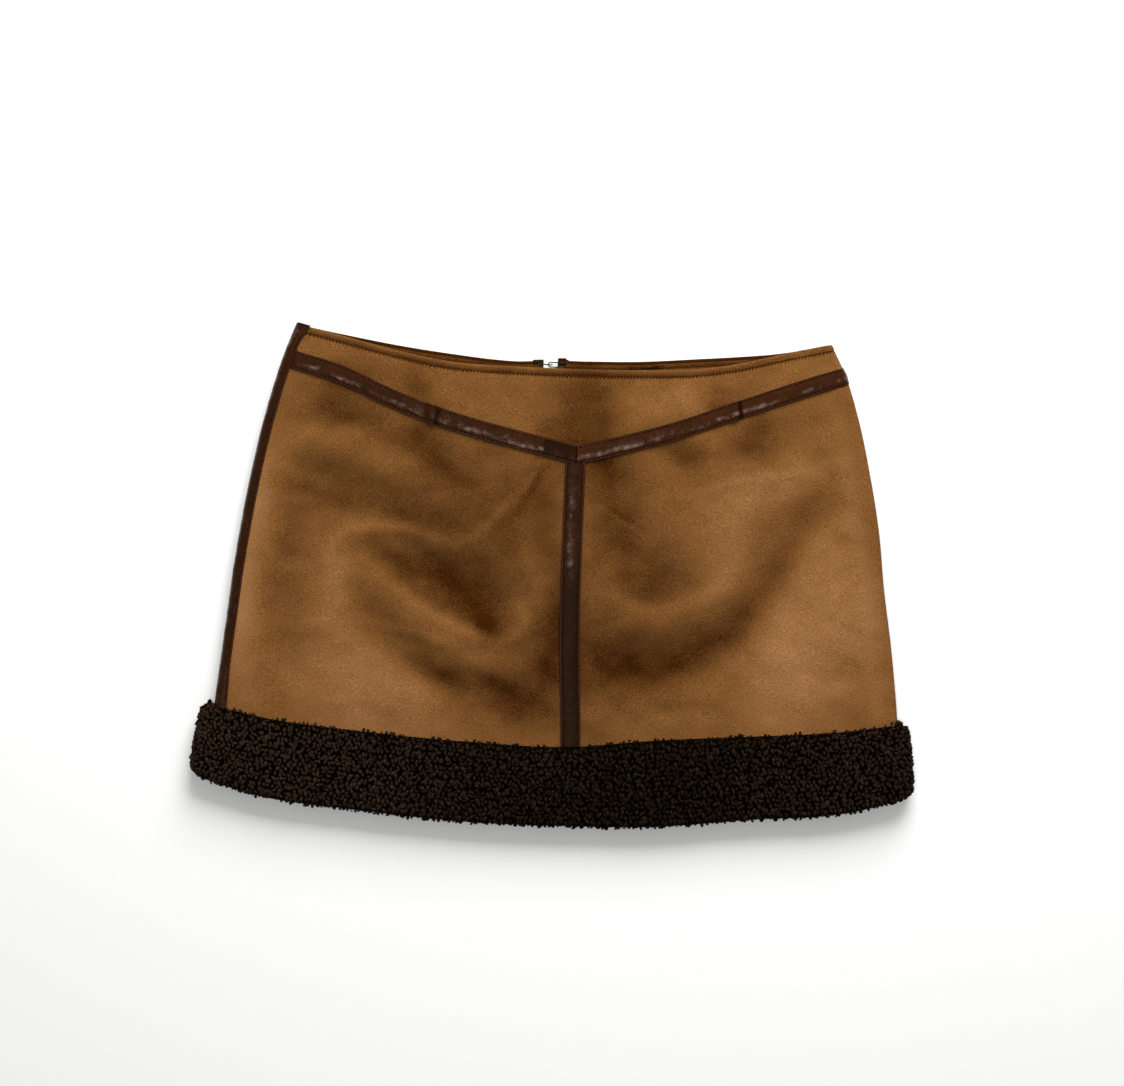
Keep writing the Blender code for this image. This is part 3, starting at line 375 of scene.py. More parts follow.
def waves(x, y, length, seed, count=9):
    """Soft unevenness of about one wavelength: a few plane waves with seeded turns and phases."""
    rng = np.random.default_rng(seed)
    total = np.zeros(np.broadcast(x, y).shape)
    for _ in range(count):
        turn = rng.uniform(0, 2 * math.pi)
        pace = 2 * math.pi / (length * rng.uniform(0.7, 1.5))
        phase = rng.uniform(0, 2 * math.pi)
        total = total + np.sin(pace * (x * math.cos(turn) + y * math.sin(turn)) + phase)
    return total / math.sqrt(count / 2)


def rise_over(distance, flat, ramp):
    return 1.0 - smooth((np.abs(distance) - flat) / ramp)


def suede_bottom(x, y):
    """The underside: flat on the floor, but lifted by the strips, the slider and the band."""
    lift = STRIP_WALL + SIDE_STRIP_LIFT
    from_centre = x - centre_back(y)
    from_right = x - (suede_right(y) - RIGHT_STRIP_INSET)
    centre = rise_over(from_centre, CENTRE_FLAT, STRIP_RAMP)
    strips = lift * np.maximum(centre, rise_over(from_right, SIDE_FLAT, STRIP_RAMP))
    from_slider = y - SLIDER_Y + SLIDER_AHEAD
    slider = rise_over(from_centre, SLIDER_FLAT[0], SLIDER_SIDE_RAMP)
    slider = slider * rise_over(from_slider, SLIDER_FLAT[1], SLIDER_RAMP)
    band = 1.0 - smooth((y - band_top(x)) / BAND_RAMP)
    return BAND_STEP * band + (1.0 - band) * (strips + SLIDER_RISE * slider)


def plain_top(x, y):
    """The front layer's outside without its folds."""
    below_waist = waist_front(x) - y
    return MOUTH_HEIGHT + (BODY_HEIGHT - MOUTH_HEIGHT) * smooth(below_waist / MOUTH_SLOPE)


def front_fade(x, y):
    """How much of a fold is left near a side, the waist, the band and the centre strip."""
    from_left = x - suede_left(y) - SIDE_CLEAR
    from_right = suede_right(y) - SIDE_CLEAR - x
    sides = smooth(from_left / SIDE_FADE) * smooth(from_right / SIDE_FADE)
    waist = WAIST_SHARE + (1.0 - WAIST_SHARE) * smooth((waist_front(x) - y) / WAIST_FADE)
    ends = smooth((y - band_top(x)) / BAND_FADE) * waist
    strip = 1.0 - CENTRE_LOSS * np.exp(-0.5 * ((x - centre_front(y)) / CENTRE_FADE) ** 2)
    return sides * ends * strip


class Field:
    """A function of the plan, worked out once on a grid of one millimetre and read between."""

    LEFT, LOW, RIGHT, HIGH = -262, -180, 262, 182

    def __init__(self, function):
        x, y = np.meshgrid(
            np.arange(self.LEFT, self.RIGHT + 1.0), np.arange(self.LOW, self.HIGH + 1.0)
        )
        self.values = function(x, y)

    def at(self, x, y):
        u = np.clip(x - self.LEFT, 0, self.values.shape[1] - 1.001)
        v = np.clip(y - self.LOW, 0, self.values.shape[0] - 1.001)
        i, j = u.astype(int), v.astype(int)
        u, v = u - i, v - j
        grid = self.values
        low = grid[j, i] * (1 - u) + grid[j, i + 1] * u
        high = grid[j + 1, i] * (1 - u) + grid[j + 1, i + 1] * u
        return low * (1 - v) + high * v


def front_relief(x, y):
    uneven = 0.13 * waves(x, y, 46.0, 3) + 0.04 * waves(x, y, 19.0, 5)
    large = dabs(FOLDS, x, y) + dabs(CREASES, x, y)
    return (large + uneven) * front_fade(x, y)


FRONT = Field(front_relief)


def front_nap_and_shade(x, y):
    """The nap's tone: darker on the slopes that face the hem, and as it was brushed."""
    slope = np.gradient(FRONT.values, axis=0)
    brushed_and_shaded = dabs(NAP_AND_SHADE_DABS, x, y) + 0.025 * waves(x, y, 70.0, 11) + 0.02 * waves(x, y, 26.0, 12)
    return brushed_and_shaded - PAINTED_SHADE_SLOPE * slope


NAP_AND_SHADE = Field(front_nap_and_shade)
BACK_UNEVEN = Field(lambda x, y: dabs(BACK_CREASES, x, y) + 0.1 * waves(x, y, 40.0, 21))


def front_top(x, y):
    return plain_top(x, y) + FRONT.at(x, y)


def band_bottom(x, y):
    return np.zeros(np.broadcast(x, y).shape)


def band_cover(x, y):
    return np.full(np.broadcast(x, y).shape, BAND_HEIGHT)


class Tube:
    """A flattened tube with a round fold at each side, from its two sides and its two layers."""

    def __init__(self, sides, bottom, top, plain):
        self.left = column(sides, "y", "left")
        self.right = column(sides, "y", "right")
        self.bottom = bottom
        self.top = top
        self.plain = plain

    def radius(self, x, y):
        return (self.plain(x, y) - self.bottom(x, y)) / 2.0

    def left_turn(self, y):
        """The girth place of the left fold's outermost line."""
        radius = self.radius(self.left(y), y)
        return self.left(y) + radius * (1.0 - math.pi / 2)

    def right_turn(self, y):
        radius = self.radius(self.right(y), y)
        return self.right(y) - radius * (1.0 - math.pi / 2)

    def round_left(self, x, y):
        """The girth place of a line on the back, reached round the left fold."""
        radius = self.radius(self.left(y), y)
        return 2 * (self.left(y) + radius) - math.pi * radius - x

    def round_right(self, x, y):
        radius = self.radius(self.right(y), y)
        return 2 * (self.right(y) - radius) + math.pi * radius - x

    def place(self, s, y):
        """The place across, and the share of the top layer there: 1 in front, 0 behind."""
        left, right = self.left(y), self.right(y)
        left_radius, right_radius = self.radius(left, y), self.radius(right, y)
        left_angle = (left + left_radius - s) / left_radius
        right_angle = (s - right + right_radius) / right_radius

        def over(angle):
            return np.sin(np.clip(angle, 0, math.pi)) - np.maximum(angle - math.pi, 0)

        x = np.where(left_angle > 0, left + left_radius * (1 - over(left_angle)), s)
        x = np.where(right_angle > 0, right - right_radius * (1 - over(right_angle)), x)
        angle = np.clip(np.maximum(left_angle, right_angle), 0, math.pi)
        return x, (1 + np.cos(angle)) / 2

    def point(self, s, y):
        x, share = self.place(s, y)
        z = self.bottom(x, y) * (1 - share) + self.top(x, y) * share
        return np.stack([x, np.broadcast_to(y, x.shape), z], axis=-1)

    def normal(self, s, y, step=0.8):
        along_s = self.point(s + step, y) - self.point(s - step, y)
        along_y = self.point(s, y + step) - self.point(s, y - step)
        normal = np.cross(along_s, along_y)
        return normal / np.linalg.norm(normal, axis=-1, keepdims=True)

    def lifted(self, s, y, lift):
        """The tube's point moved out along its normal by lift."""
        return self.point(s, y) + self.normal(s, y) * np.asarray(lift)[..., None]


SUEDE = Tube(SUEDE_SIDES, suede_bottom, front_top, plain_top)
BAND = Tube(BAND_SIDES, band_bottom, band_cover, band_cover)


# Girth lines: each gives s at a height y on the suede tube
def left_seam(y):
    return SUEDE.left_turn(y) + LEFT_SEAM_FORWARD


def right_seam(y):
    return SUEDE.right_turn(y) + RIGHT_SEAM_BEHIND


def beside(line, offset):
    return lambda y: line(y) + offset


def share_between(line_a, line_b, share):
    return lambda y: line_a(y) * (1 - share) + line_b(y) * share


def left_front_edge(y):
    return left_seam(y) + STRIP_WIDTH / 2


def centre_left_edge(y):
    return centre_front(y) - CENTRE_STRIP_WIDTH / 2


def centre_right_edge(y):
    return centre_front(y) + CENTRE_STRIP_WIDTH / 2


def right_fold_start(y):
    return SUEDE.right(y) - SIDE_TURN


def right_strip_edge(y):
    return right_seam(y) - STRIP_WIDTH / 2


def join_line(line_a, line_b, join_x):
    """A line that keeps its share of the width and passes the yoke seam at join_x."""
    y = float(yoke_seam(join_x))
    share = (join_x - float(line_a(y))) / (float(line_b(y)) - float(line_a(y)))
    return share_between(line_a, line_b, share)


left_join = join_line(left_front_edge, centre_left_edge, LEFT_JOIN_X)
tip_join = join_line(left_front_edge, centre_left_edge, TIP_JOIN_X)
right_join = join_line(centre_right_edge, right_fold_start, RIGHT_JOIN_X)


def zip_opening(y):
    """1 along the zip, 0 where the back seam is sewn shut below it."""
    return smooth((y - ZIP_END + ZIP_CLOSE) / ZIP_CLOSE)


def back_flare(y):
    """How far each side of the zip's opening draws back at the waist."""
    return 1.1 * smooth((y - 141.0) / 9.0)


def back_edge_offset(y):
    return SEAM_GAP / 2 + (ZIP_HALF_GAP - SEAM_GAP / 2) * zip_opening(y) + back_flare(y)


def back_strip_offset(y):
    opening = (ZIP_HALF_GAP + ZIP_STRIP_CLEAR - SEAM_GAP) * zip_opening(y)
    return SEAM_GAP + opening + 0.7 * back_flare(y)


def back_line(tube_round, offset, side):
    """A line on the back at an offset from the centre back: side -1 left, 1 right."""
    return lambda y: tube_round(centre_back(y) + side * offset(y), y)


# Height lines: each gives y at a girth place on the suede tube
def at_waist(s, y):
    x, share = SUEDE.place(s, y)
    return waist_front(x) * share + waist_back(x) * (1 - share)


def below_waist(s, y):
    return at_waist(s, y) - y


def at_yoke(s, y):
    return yoke_seam(s)


def at_band(s, y):
    x, _ = SUEDE.place(s, y)
    return band_top(x)


def above(line, offset):
    return lambda s, y: line(s, y) + offset


def at_height(y):
    return lambda s, _: np.full(s.shape, y)


class Lines:
    """Lines and the number of steps from each to the next; step numbers fall between them."""

    def __init__(self, *rows):
        self.lines = [line for line, _ in rows]
        self.steps = np.array([steps for _, steps in rows[:-1]])
        self.marks = np.concatenate([[0], np.cumsum(self.steps)])
        self.count = int(self.marks[-1])

    def at(self, number, *where):
        places = np.array([np.broadcast_to(line(*where), number.shape) for line in self.lines])
        k = np.searchsorted(self.marks, number + 1e-6, side="right") - 1
        k = np.clip(k, 0, len(self.steps) - 1)
        share = (number - self.marks[k]) / self.steps[k]
        index = np.arange(len(number))
        return places[k, index] * (1 - share) + places[k + 1, index] * share


def spaced(lines, last, step=1):
    """Rows for Lines that are a step apart, but for the steps after the last one."""
    return [(line, step) for line in lines[:-1]] + [(lines[-1], last)]


# ---- making pieces --------------------------------------------------------------------------


def to_world(points):
    """Plan millimetres to the frame's metres."""
    return (np.asarray(points) - np.array([*CENTRE, 0.0])) * MM


def finished(bm, name):
    """A bmesh written to a new mesh."""
    mesh = bpy.data.meshes.new(name)
    bm.to_mesh(mesh)
    bm.free()
    return mesh


def placed(name, data):
    """A new object in the scene."""
    item = bpy.data.objects.new(name, data)
    bpy.context.scene.collection.objects.link(item)
    return item


def show(name, mesh, material, body, nodes=()):
    """A mesh as a piece that rides on a body, with its slot and the nodes it stands for."""
    mesh.materials.clear()
    mesh.materials.append(material)
    piece = placed(name, mesh)
    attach(piece, body)
    if nodes:
        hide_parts(*nodes)
    return piece


def rounding(distance, half):
    """How far a wall's face falls in towards its middle near a round edge."""
    reach = np.clip(distance, 0.0, half)
    return half - np.sqrt(np.maximum(half**2 - (half - reach) ** 2, (0.12 * half) ** 2))


def cloth(tube, girth, heights, outside, inside, start_y=0.0, facts=None):
    """A closed sheet over a grid of girth lines and height lines, as a mesh with a UV map.

    outside and inside give each face's distance from the tube's outside, and facts gives named
    values for the materials; all take the column, row, girth place and height.
    """
    bm = bmesh.new()
    bmesh.ops.create_grid(bm, x_segments=girth.count, y_segments=heights.count, size=1.0)
    raised = bmesh.ops.extrude_face_region(bm, geom=bm.faces[:])
    outer = [item for item in raised["geom"] if isinstance(item, bmesh.types.BMVert)]
    bmesh.ops.translate(bm, verts=outer, vec=(0.0, 0.0, 1.0))
    mesh = finished(bm, "cloth")

    block = np.empty(len(mesh.vertices) * 3, np.float32)
    mesh.vertices.foreach_get("co", block)
    block = block.reshape(-1, 3).astype(float)
    columns = np.round((block[:, 0] + 1) / 2 * girth.count)
    rows = np.round((1 - block[:, 1]) / 2 * heights.count)
    is_outer = block[:, 2] > 0.5
    y = np.full(len(block), start_y)
    for _ in range(7):
        s = girth.at(columns, y)
        y = heights.at(rows, s, y)
    s = girth.at(columns, y)
    lift = np.where(is_outer, outside(columns, rows, s, y), inside(columns, rows, s, y))
    places = to_world(tube.lifted(s, y, lift)).astype(np.float32)
    mesh.vertices.foreach_set("co", places.ravel())

    corners = np.empty(len(mesh.loops), np.int32)
    mesh.loops.foreach_get("vertex_index", corners)
    plan = np.stack([s, y], axis=-1)[corners] * MM
    mesh.uv_layers.new(name="plan").data.foreach_set("uv", plan.astype(np.float32).ravel())
    for fact, values in (facts(columns, rows, s, y) if facts else {}).items():
        layer = mesh.attributes.new(fact, "FLOAT", "POINT")
        layer.data.foreach_set("value", np.broadcast_to(values, s.shape).astype(np.float32))
    mesh.update()
    mesh.shade_smooth()
    mesh.set_sharp_from_angle(angle=math.radians(60))
    return mesh


def level(value):
    return lambda c, r, s, y: np.full(c.shape, value)


def nap_and_shade_facts(side):
    """The nap's tone at each point of a suede panel: side 1 for the front, 0 for the back."""

    def facts(c, r, s, y):
        x, share = SUEDE.place(s, y)
        here = NAP_AND_SHADE.at(x, y) * side * share + 0.05 * waves(s, y, 38.0, 31) * (1 - side * share)
        return {"nap": here}

    return facts


# ---- settings -------------------------------------------------------------------------------


def length(name, description, default):
    return FloatProperty(name=name, description=description, default=default, unit="LENGTH")


def colour(name, description, default):
    return FloatVectorProperty(
        name=name, description=description, default=default, subtype="COLOR", min=0.0, max=1.0
    )


class SKIRT_PG_looks(bpy.types.PropertyGroup):
    stitch_pitch: length("Stitch Pitch", "From one stitch to the next", 0.0033)
    waist_stitch_pitch: length(
        "Waist Stitch Pitch", "From one stitch to the next along the waist", 0.0023
    )
    stitch_length: length("Stitch Length", "Length of thread that shows", 0.0024)
    thread_width: length("Thread Width", "Thickness of the sewing thread", 0.0007)
    curl_spacing: length("Curl Spacing", "Distance between the pile's curls", 0.0031)
    curl_size: length("Curl Size", "Width of one curl", 0.0034)
    # The suede's light, shade and middle colours serve the nap's tone and also the painted shade
    # and painted light of the folds
    suede_colour: colour("Suede", "The suede where its nap lies light", (0.290, 0.134, 0.0500))
    suede_shade: colour(
        "Suede Shade", "The suede where its nap is brushed dark", (0.032, 0.0086, 0.0006)
    )
    suede_middle: colour(
        "Suede Middle", "The suede where its nap lies neither light nor dark",
        (0.164, 0.0690, 0.0186),
    )
    leather_colour: colour("Leather", "The leather strips", (0.0165, 0.0054, 0.0018))
    leather_edge_colour: colour(
        "Leather Edge", "The strips' turned edges", (0.044, 0.0135, 0.0060)
    )
    thread_colour: colour("Thread", "The sewing thread on leather", (0.006, 0.0024, 0.0014))
    waist_thread_colour: colour(
        "Waist Thread", "The sewing thread on suede", (0.110, 0.040, 0.010)
    )
    pile_colour: colour("Pile", "The pile's curls", (0.0094, 0.0054, 0.0030))
    metal_colour: colour("Metal", "Zip, hook and eye", (0.085, 0.070, 0.055))
    floor_colour: colour("Floor", "The surface that the skirt lies on", (0.90, 0.90, 0.892))
    camera_height: length("Camera Height", "Camera above the floor", 1.6)


def looks():
    return bpy.context.scene.skirt_looks


# ---- materials ------------------------------------------------------------------------------


class Shading:
    """A material's node tree, with short ways to add and join nodes."""

    def __init__(self, name):
        self.material = bpy.data.materials.new(name)
        self.material.use_nodes = True
        self.tree = self.material.node_tree
        self.shader = self.tree.nodes["Principled BSDF"]

    def set(self, **values):
        for name, value in values.items():
            self.shader.inputs[name.replace("_", " ")].default_value = value

    def node(self, kind, inputs=None, **facts):
        made = self.tree.nodes.new(kind)
        for name, value in facts.items():
            setattr(made, name, value)
        for name, value in (inputs or {}).items():
            if isinstance(value, bpy.types.NodeSocket):
                self.tree.links.new(value, made.inputs[name])
            else:
                made.inputs[name].default_value = value
        return made

    def object_places(self):
        return self.node("ShaderNodeTexCoord").outputs["Object"]

    def plan_places(self, scale):
        """The piece's own UV map, in metres along and across the cloth, stretched by scale."""
        uv = self.node("ShaderNodeUVMap", uv_map="plan").outputs["UV"]
        return self.node("ShaderNodeMapping", {"Vector": uv, "Scale": scale}).outputs["Vector"]

    def noise(self, places, scale, detail=3.0, roughness=0.6, distortion=0.0):
        made = self.node(
            "ShaderNodeTexNoise",
            {"Vector": places, "Scale": scale, "Detail": detail, "Roughness": roughness,
             "Distortion": distortion},
        )
        return made.outputs["Fac"]

    def fact(self, name):
        return self.node("ShaderNodeAttribute", attribute_name=name).outputs["Fac"]

    def sum(self, *terms):
        """A weighted sum: each term is a socket and its weight, or a plain number."""
        total = 0.0
        for term in terms:
            if isinstance(term, tuple):
                value = self.times(*term)
            else:
                value = term
            total = self.node("ShaderNodeMath", {0: total, 1: value}, operation="ADD").outputs[0]
        return total

    def times(self, a, b):
        return self.node("ShaderNodeMath", {0: a, 1: b}, operation="MULTIPLY").outputs[0]

    def between(self, share, low, high, start=0.0, end=1.0):
        """A colour from low to high as the share goes from start to end."""
        limits = {"Value": share, "From Min": start, "From Max": end}
        ramp = self.node("ShaderNodeMapRange", limits)
        mix = self.node("ShaderNodeMix", data_type="RGBA")
        self.tree.links.new(ramp.outputs[0], mix.inputs["Factor"])
        for name, colour in (("A", low), ("B", high)):
            socket = [i for i in mix.inputs if i.name == name and i.type == "RGBA"][0]
            if isinstance(colour, bpy.types.NodeSocket):
                self.tree.links.new(colour, socket)
            else:
                socket.default_value = (*colour, 1.0)
        return [o for o in mix.outputs if o.type == "RGBA"][0]

    def range(self, value, low, high, start=0.0, end=1.0):
        made = self.node(
            "ShaderNodeMapRange",
            {"Value": value, "From Min": start, "From Max": end, "To Min": low, "To Max": high},
        )
        return made.outputs[0]

    def painted_pleat_shade(self):
        """The dark teeth of the pleats under the waist's stitches, 0 to 1."""
        below = self.fact("below")
        plan = self.plan_places((1.0 / MM, 1.0 / MM, 1.0))
        along = self.node("ShaderNodeSeparateXYZ", {"Vector": plan}).outputs["X"]
        drift = self.noise(self.object_places(), 70.0, 1.0)
        slanted = self.sum((along, 1.0), (below, 0.45), (drift, 5.0))
        pitch = looks().waist_stitch_pitch / MM
        wave = self.node("ShaderNodeMath", {0: slanted, 1: pitch / 2}, operation="PINGPONG")
        reach = self.sum((wave.outputs[0], 2.0 / pitch), (below, -1 / 2.7), STITCH_DEPTH / 2.7)
        dark = self.range(reach, 0.0, 1.0, -0.1, 0.45)
        start = self.range(below, 0.0, 1.0, STITCH_DEPTH - 0.7, STITCH_DEPTH - 0.1)
        uneven = self.range(drift, 0.7, 1.0, 0.35, 0.6)
        return self.times(self.times(dark, start), uneven)

    def colour(self, socket):
        self.tree.links.new(socket, self.shader.inputs["Base Color"])

    def roughness(self, socket):
        self.tree.links.new(socket, self.shader.inputs["Roughness"])

    def bump(self, *layers):
        """Bumps laid one on the other: each a height socket and its depth in metres."""
        normal = None
        for height, depth in layers:
            inputs = {"Height": height, "Distance": depth, "Strength": 1.0}
            if normal is not None:
                inputs["Normal"] = normal
            normal = self.node("ShaderNodeBump", inputs).outputs["Normal"]
        self.tree.links.new(normal, self.shader.inputs["Normal"])


def scaled(colour, share):
    return tuple(share * value for value in colour)


def suede_material():
    """Tan suede: a short brushed nap that lies light or dark, with a fine fuzz."""
    look = looks()
    made = Shading("suede_nap")
    places = made.object_places()
    fuzz = made.noise(places, 1300.0, 2.0, 0.7)
    fleck = made.noise(places, 420.0, 3.0, 0.65)
    cloud = made.noise(places, 60.0, 3.0, 0.6)
    grain = made.sum((fuzz, 0.6), (fleck, 0.14), (cloud, 0.26), -0.5)
    # The share mixes the nap's tone with painted shade and painted light from the folds, and
    # painted shade in the pleats
    share = made.sum(0.492, (made.fact("nap"), 1.12), grain, (made.painted_pleat_shade(), -0.6))
    dark = made.between(share, look.suede_shade, look.suede_middle, -0.14, 0.54)
    plain = made.between(share, dark, look.suede_colour, 0.54, 1.12)
    speck = made.range(fuzz, 0.66, 1.34, 0.3, 0.7)
    flecked = made.node("ShaderNodeVectorMath", {0: plain, "Scale": speck}, operation="SCALE")
    made.colour(flecked.outputs[0])
    made.set(Roughness=0.95, Specular_IOR_Level=0.04)
    made.set(Sheen_Weight=0.05, Sheen_Roughness=0.4, Sheen_Tint=(0.70, 0.38, 0.16, 1.0))
    made.bump((cloud, 0.0006), (fleck, 0.0003), (fuzz, 0.00022))
    return made.material


def leather_material():
    """Dark brown leather, smooth and half glossy, with pores and drawn wrinkles."""
    look = looks()
    made = Shading("creased_leather")
    places = made.object_places()
    grain = made.node("ShaderNodeTexVoronoi", {"Vector": places, "Scale": 1300.0}, feature="F1")
    cells = grain.outputs["Distance"]
    wrinkle = made.noise(places, 210.0, 4.0, 0.6, 0.8)
    patch = made.noise(places, 55.0, 2.0, 0.5)
    # The tone is lighter where the strip is worn and where sheen is painted
    tone = made.sum((wrinkle, 0.5), (patch, 0.5), (made.fact("worn"), 0.3))
    light = scaled(look.leather_colour, 2.2)
    dark = scaled(look.leather_colour, 0.7)
    body = made.between(tone, dark, light, 0.3, 0.9)
    # Painted highlight: the light, greyish colour of the streaks that stand for gloss
    painted_highlight_colour = tuple(value * share for value, share in zip(look.leather_colour, (8.0, 15.0, 36.0)))
    broken = made.range(wrinkle, 0.4, 1.5, 0.40, 0.62)
    rub = made.times(made.fact("rub"), broken)
    body = made.between(rub, body, painted_highlight_colour, 0.15, 1.8)
    lip = made.between(made.fact("lip"), body, look.leather_edge_colour)
    # The dark line colour serves the dyed edges, the stitch lines and the painted shadow of lapped
    # ends
    made.colour(made.between(made.fact("line"), lip, (0.0025, 0.0009, 0.0006)))
    made.roughness(made.range(made.sum((tone, 1.0), (rub, 0.12)), 0.40, 0.17, 0.40, 0.70))
    made.set(Specular_IOR_Level=0.08, Specular_Tint=(1.0, 0.72, 0.54, 1.0))
    made.bump((wrinkle, 0.00030), (cells, 0.00004))
    return made.material


def thread_material(name, colour):
    made = Shading(name)
    places = made.object_places()
    twist = made.noise(places, 3000.0, 1.0)
    dark = scaled(colour, 0.5)
    made.colour(made.between(twist, dark, colour, 0.3, 0.6))
    made.set(Roughness=0.9, Specular_IOR_Level=0.04)
    made.bump((twist, 0.0001))
    return made.material


def pile_material():
    """Dark curly pile: each curl has its own tone, and its strands catch the light."""
    look = looks()
    made = Shading("curly_pile")
    places = made.object_places()
    strands = made.noise(places, 1400.0, 3.0, 0.7, 1.5)
    patch = made.noise(places, 30.0, 2.0, 0.5)
    # Painted shade and painted highlight: light and dark copies of the pile colour, mixed by how
    # high a point stands on its curl
    top = made.range(made.fact("crown"), 0.0, 1.0, -0.05, 0.95)
    own = made.sum((made.fact("tone"), 0.5), (strands, 1.5), (patch, 0.4), -0.65)
    tone = made.times(top, own)
    light = scaled(look.pile_colour, 3.6)
    dark = scaled(look.pile_colour, 0.14)
    made.colour(made.between(tone, dark, light))
    made.set(Roughness=0.9, Specular_IOR_Level=0.03)
    made.set(Sheen_Weight=0.02, Sheen_Roughness=0.4, Sheen_Tint=(0.6, 0.42, 0.28, 1.0))
    made.bump((strands, 0.0006))
    return made.material


def tape_material():
    """The zip's woven tape: a fine herringbone."""
    made = Shading("zip_tape_weave")
    places = made.object_places()
    ribs = made.node("ShaderNodeTexWave", {"Vector": places, "Scale": 420.0, "Distortion": 1.0})
    speck = made.noise(places, 1800.0, 2.0)
    tone = made.sum((ribs.outputs["Fac"], 0.5), (speck, 0.5))
    made.colour(made.between(tone, (0.010, 0.006, 0.004), (0.045, 0.026, 0.017)))
    made.set(Roughness=0.85, Sheen_Weight=0.15)
    made.bump((tone, 0.0002))
    return made.material


def metal_material():
    """Antique metal: dull, a little worn and scratched."""
    look = looks()
    made = Shading("antique_metal")
    places = made.object_places()
    wear = made.noise(places, 700.0, 4.0, 0.7)
    dark = scaled(look.metal_colour, 0.45)
    made.colour(made.between(wear, dark, look.metal_colour, 0.35, 0.65))
    made.roughness(made.range(wear, 0.5, 0.28, 0.3, 0.7))
    made.set(Metallic=1.0)
    made.bump((wear, 0.00005))
    return made.material


def floor_material():
    look = looks()
    made = Shading("floor")
    places = made.object_places()
    grain = made.noise(places, 40.0, 3.0)
    low = scaled(look.floor_colour, 0.985)
    made.colour(made.between(grain, low, look.floor_colour))
    made.set(Roughness=0.9, Specular_IOR_Level=0.1)
    return made.material


def shared(name, maker):
    """A material that several pieces wear, made once."""
    return bpy.data.materials.get(name) or maker()


# ---- suede panels ---------------------------------------------------------------------------

WAIST_ROWS = (0.0, 0.12, 0.4, 0.9, 1.7, 2.6, 3.5, 4.2, 4.7, 5.0, 5.4, 6.2, 7.4, 9.0)
WAIST_LINES = [above(at_waist, -depth) for depth in WAIST_ROWS]
STITCH_DEPTH = 4.9


def pleats(below, s):
    """The fine pleats that the waist's stitches draw in, slanted and uneven: 0 to 1."""
    pitch = looks().waist_stitch_pitch / MM
    drift = 0.9 * np.sin(s * 0.37) + 0.7 * np.sin(s * 0.13 + 1.0)
    uneven = 0.65 + 0.35 * np.sin(s * 0.21 + 1.3 * np.sin(s * 0.047))
    return uneven * (0.5 + 0.5 * np.cos(2 * math.pi * (s + 0.5 * below) / pitch + drift))


def waist_puff(below, s):
    """The turned waist edge: a soft roll above its stitch line, drawn in at each stitch."""
    roll = 0.6 * smooth(below / 1.4) * (1 - smooth((below - 2.4) / 2.4))
    groove = -0.42 * bell(below - STITCH_DEPTH, 0.75)
    drawn = 0.30 * bell(below - STITCH_DEPTH - 0.9, 1.1)
    return roll + groove - drawn * pleats(below, s)


def waist_shade(below, s):
    """How much darker the nap is in the stitched groove and its pleats."""
    groove = 0.36 * bell(below - STITCH_DEPTH, 0.65)
    rolled = 0.16 * (1 - smooth((below - 3.4) / 1.0))
    return groove + rolled + 0.08 * pleats(below, s) * (1 - smooth((below - 6.0) / 2.0))


def make_front_panels():
    """The yoke and the two front panels, which meet under the strips."""
    half = SEAM_GAP / 2
    suede = shared("suede_nap", suede_material)

    def girth_rows(fine):
        left = (
            (beside(left_seam, LEFT_SEAM_GAP / 2), 5 * fine),
            (left_front_edge, 50 * fine),
            (left_join, 38 * fine),
            (tip_join, 4 * fine),
            (centre_left_edge, 4 * fine),
        )
        right = (
            (centre_right_edge, 54 * fine),
            (right_join, 28 * fine),
            (right_fold_start, 16 * fine),
            (right_strip_edge, 3 * fine),
            (beside(right_seam, -half), 0),
        )
        return left, right

    left, right = girth_rows(4)
    yoke_heights = Lines(
        *spaced(WAIST_LINES, 18),
        (above(at_yoke, YOKE_STRIP_RISE), 2),
        (above(at_yoke, YOKE_SEAM_GAP / 2), 0),
    )

    def yoke_outside(c, r, s, y):
        below = below_waist(s, y)
        clear = smooth((s - left_front_edge(y)) / 3.0) * smooth((right_strip_edge(y) - s) / 3.0)
        clear = clear * (1 - 0.6 * smooth((s - 100.0) / 60.0))
        return waist_puff(below, s) * clear - rounding(below, SUEDE_WALL / 2)

    def yoke_inside(c, r, s, y):
        return -SUEDE_WALL + rounding(below_waist(s, y), SUEDE_WALL / 2)

    def yoke_facts(c, r, s, y):
        found = nap_and_shade_facts(1)(c, r, s, y)
        found["below"] = np.clip(below_waist(s, y), 0.0, 14.0)
        # Painted shade in the waist's groove and pleats, less towards the right
        fading = 1 - 0.4 * smooth((s - 100.0) / 60.0)
        found["nap"] = found["nap"] - waist_shade(found["below"], s) * fading
        return found

    yoke = cloth(
        SUEDE, Lines(*left, (centre_front, 6), *right), yoke_heights, yoke_outside, yoke_inside,
        YOKE_START_Y, yoke_facts,
    )
    yoke_piece = show("yoke_suede", yoke, suede, SKIRT_BODY, ["front_yoke"])

    left, right = girth_rows(1)
    panel_heights = Lines(
        (above(at_yoke, -YOKE_SEAM_GAP / 2), 3),
        (above(at_yoke, -YOKE_STRIP_RISE), 96),
        (above(at_band, HEM_GAP / 2), 0),
    )
    inside = level(-SUEDE_WALL)
    left_panel = cloth(
        SUEDE, Lines(*left, (beside(centre_front, -half), 0)), panel_heights, level(0.0), inside,
        0.0, nap_and_shade_facts(1),
    )
    left_piece = show("front_left_suede", left_panel, suede, SKIRT_BODY, ["front_left"])
    right_panel = cloth(
        SUEDE, Lines((beside(centre_front, half), 4), *right), panel_heights, level(0.0), inside,
        0.0, nap_and_shade_facts(1),
    )
    right_piece = show(
        "front_right_suede", right_panel, suede, SKIRT_BODY, ["front_right"]
    )


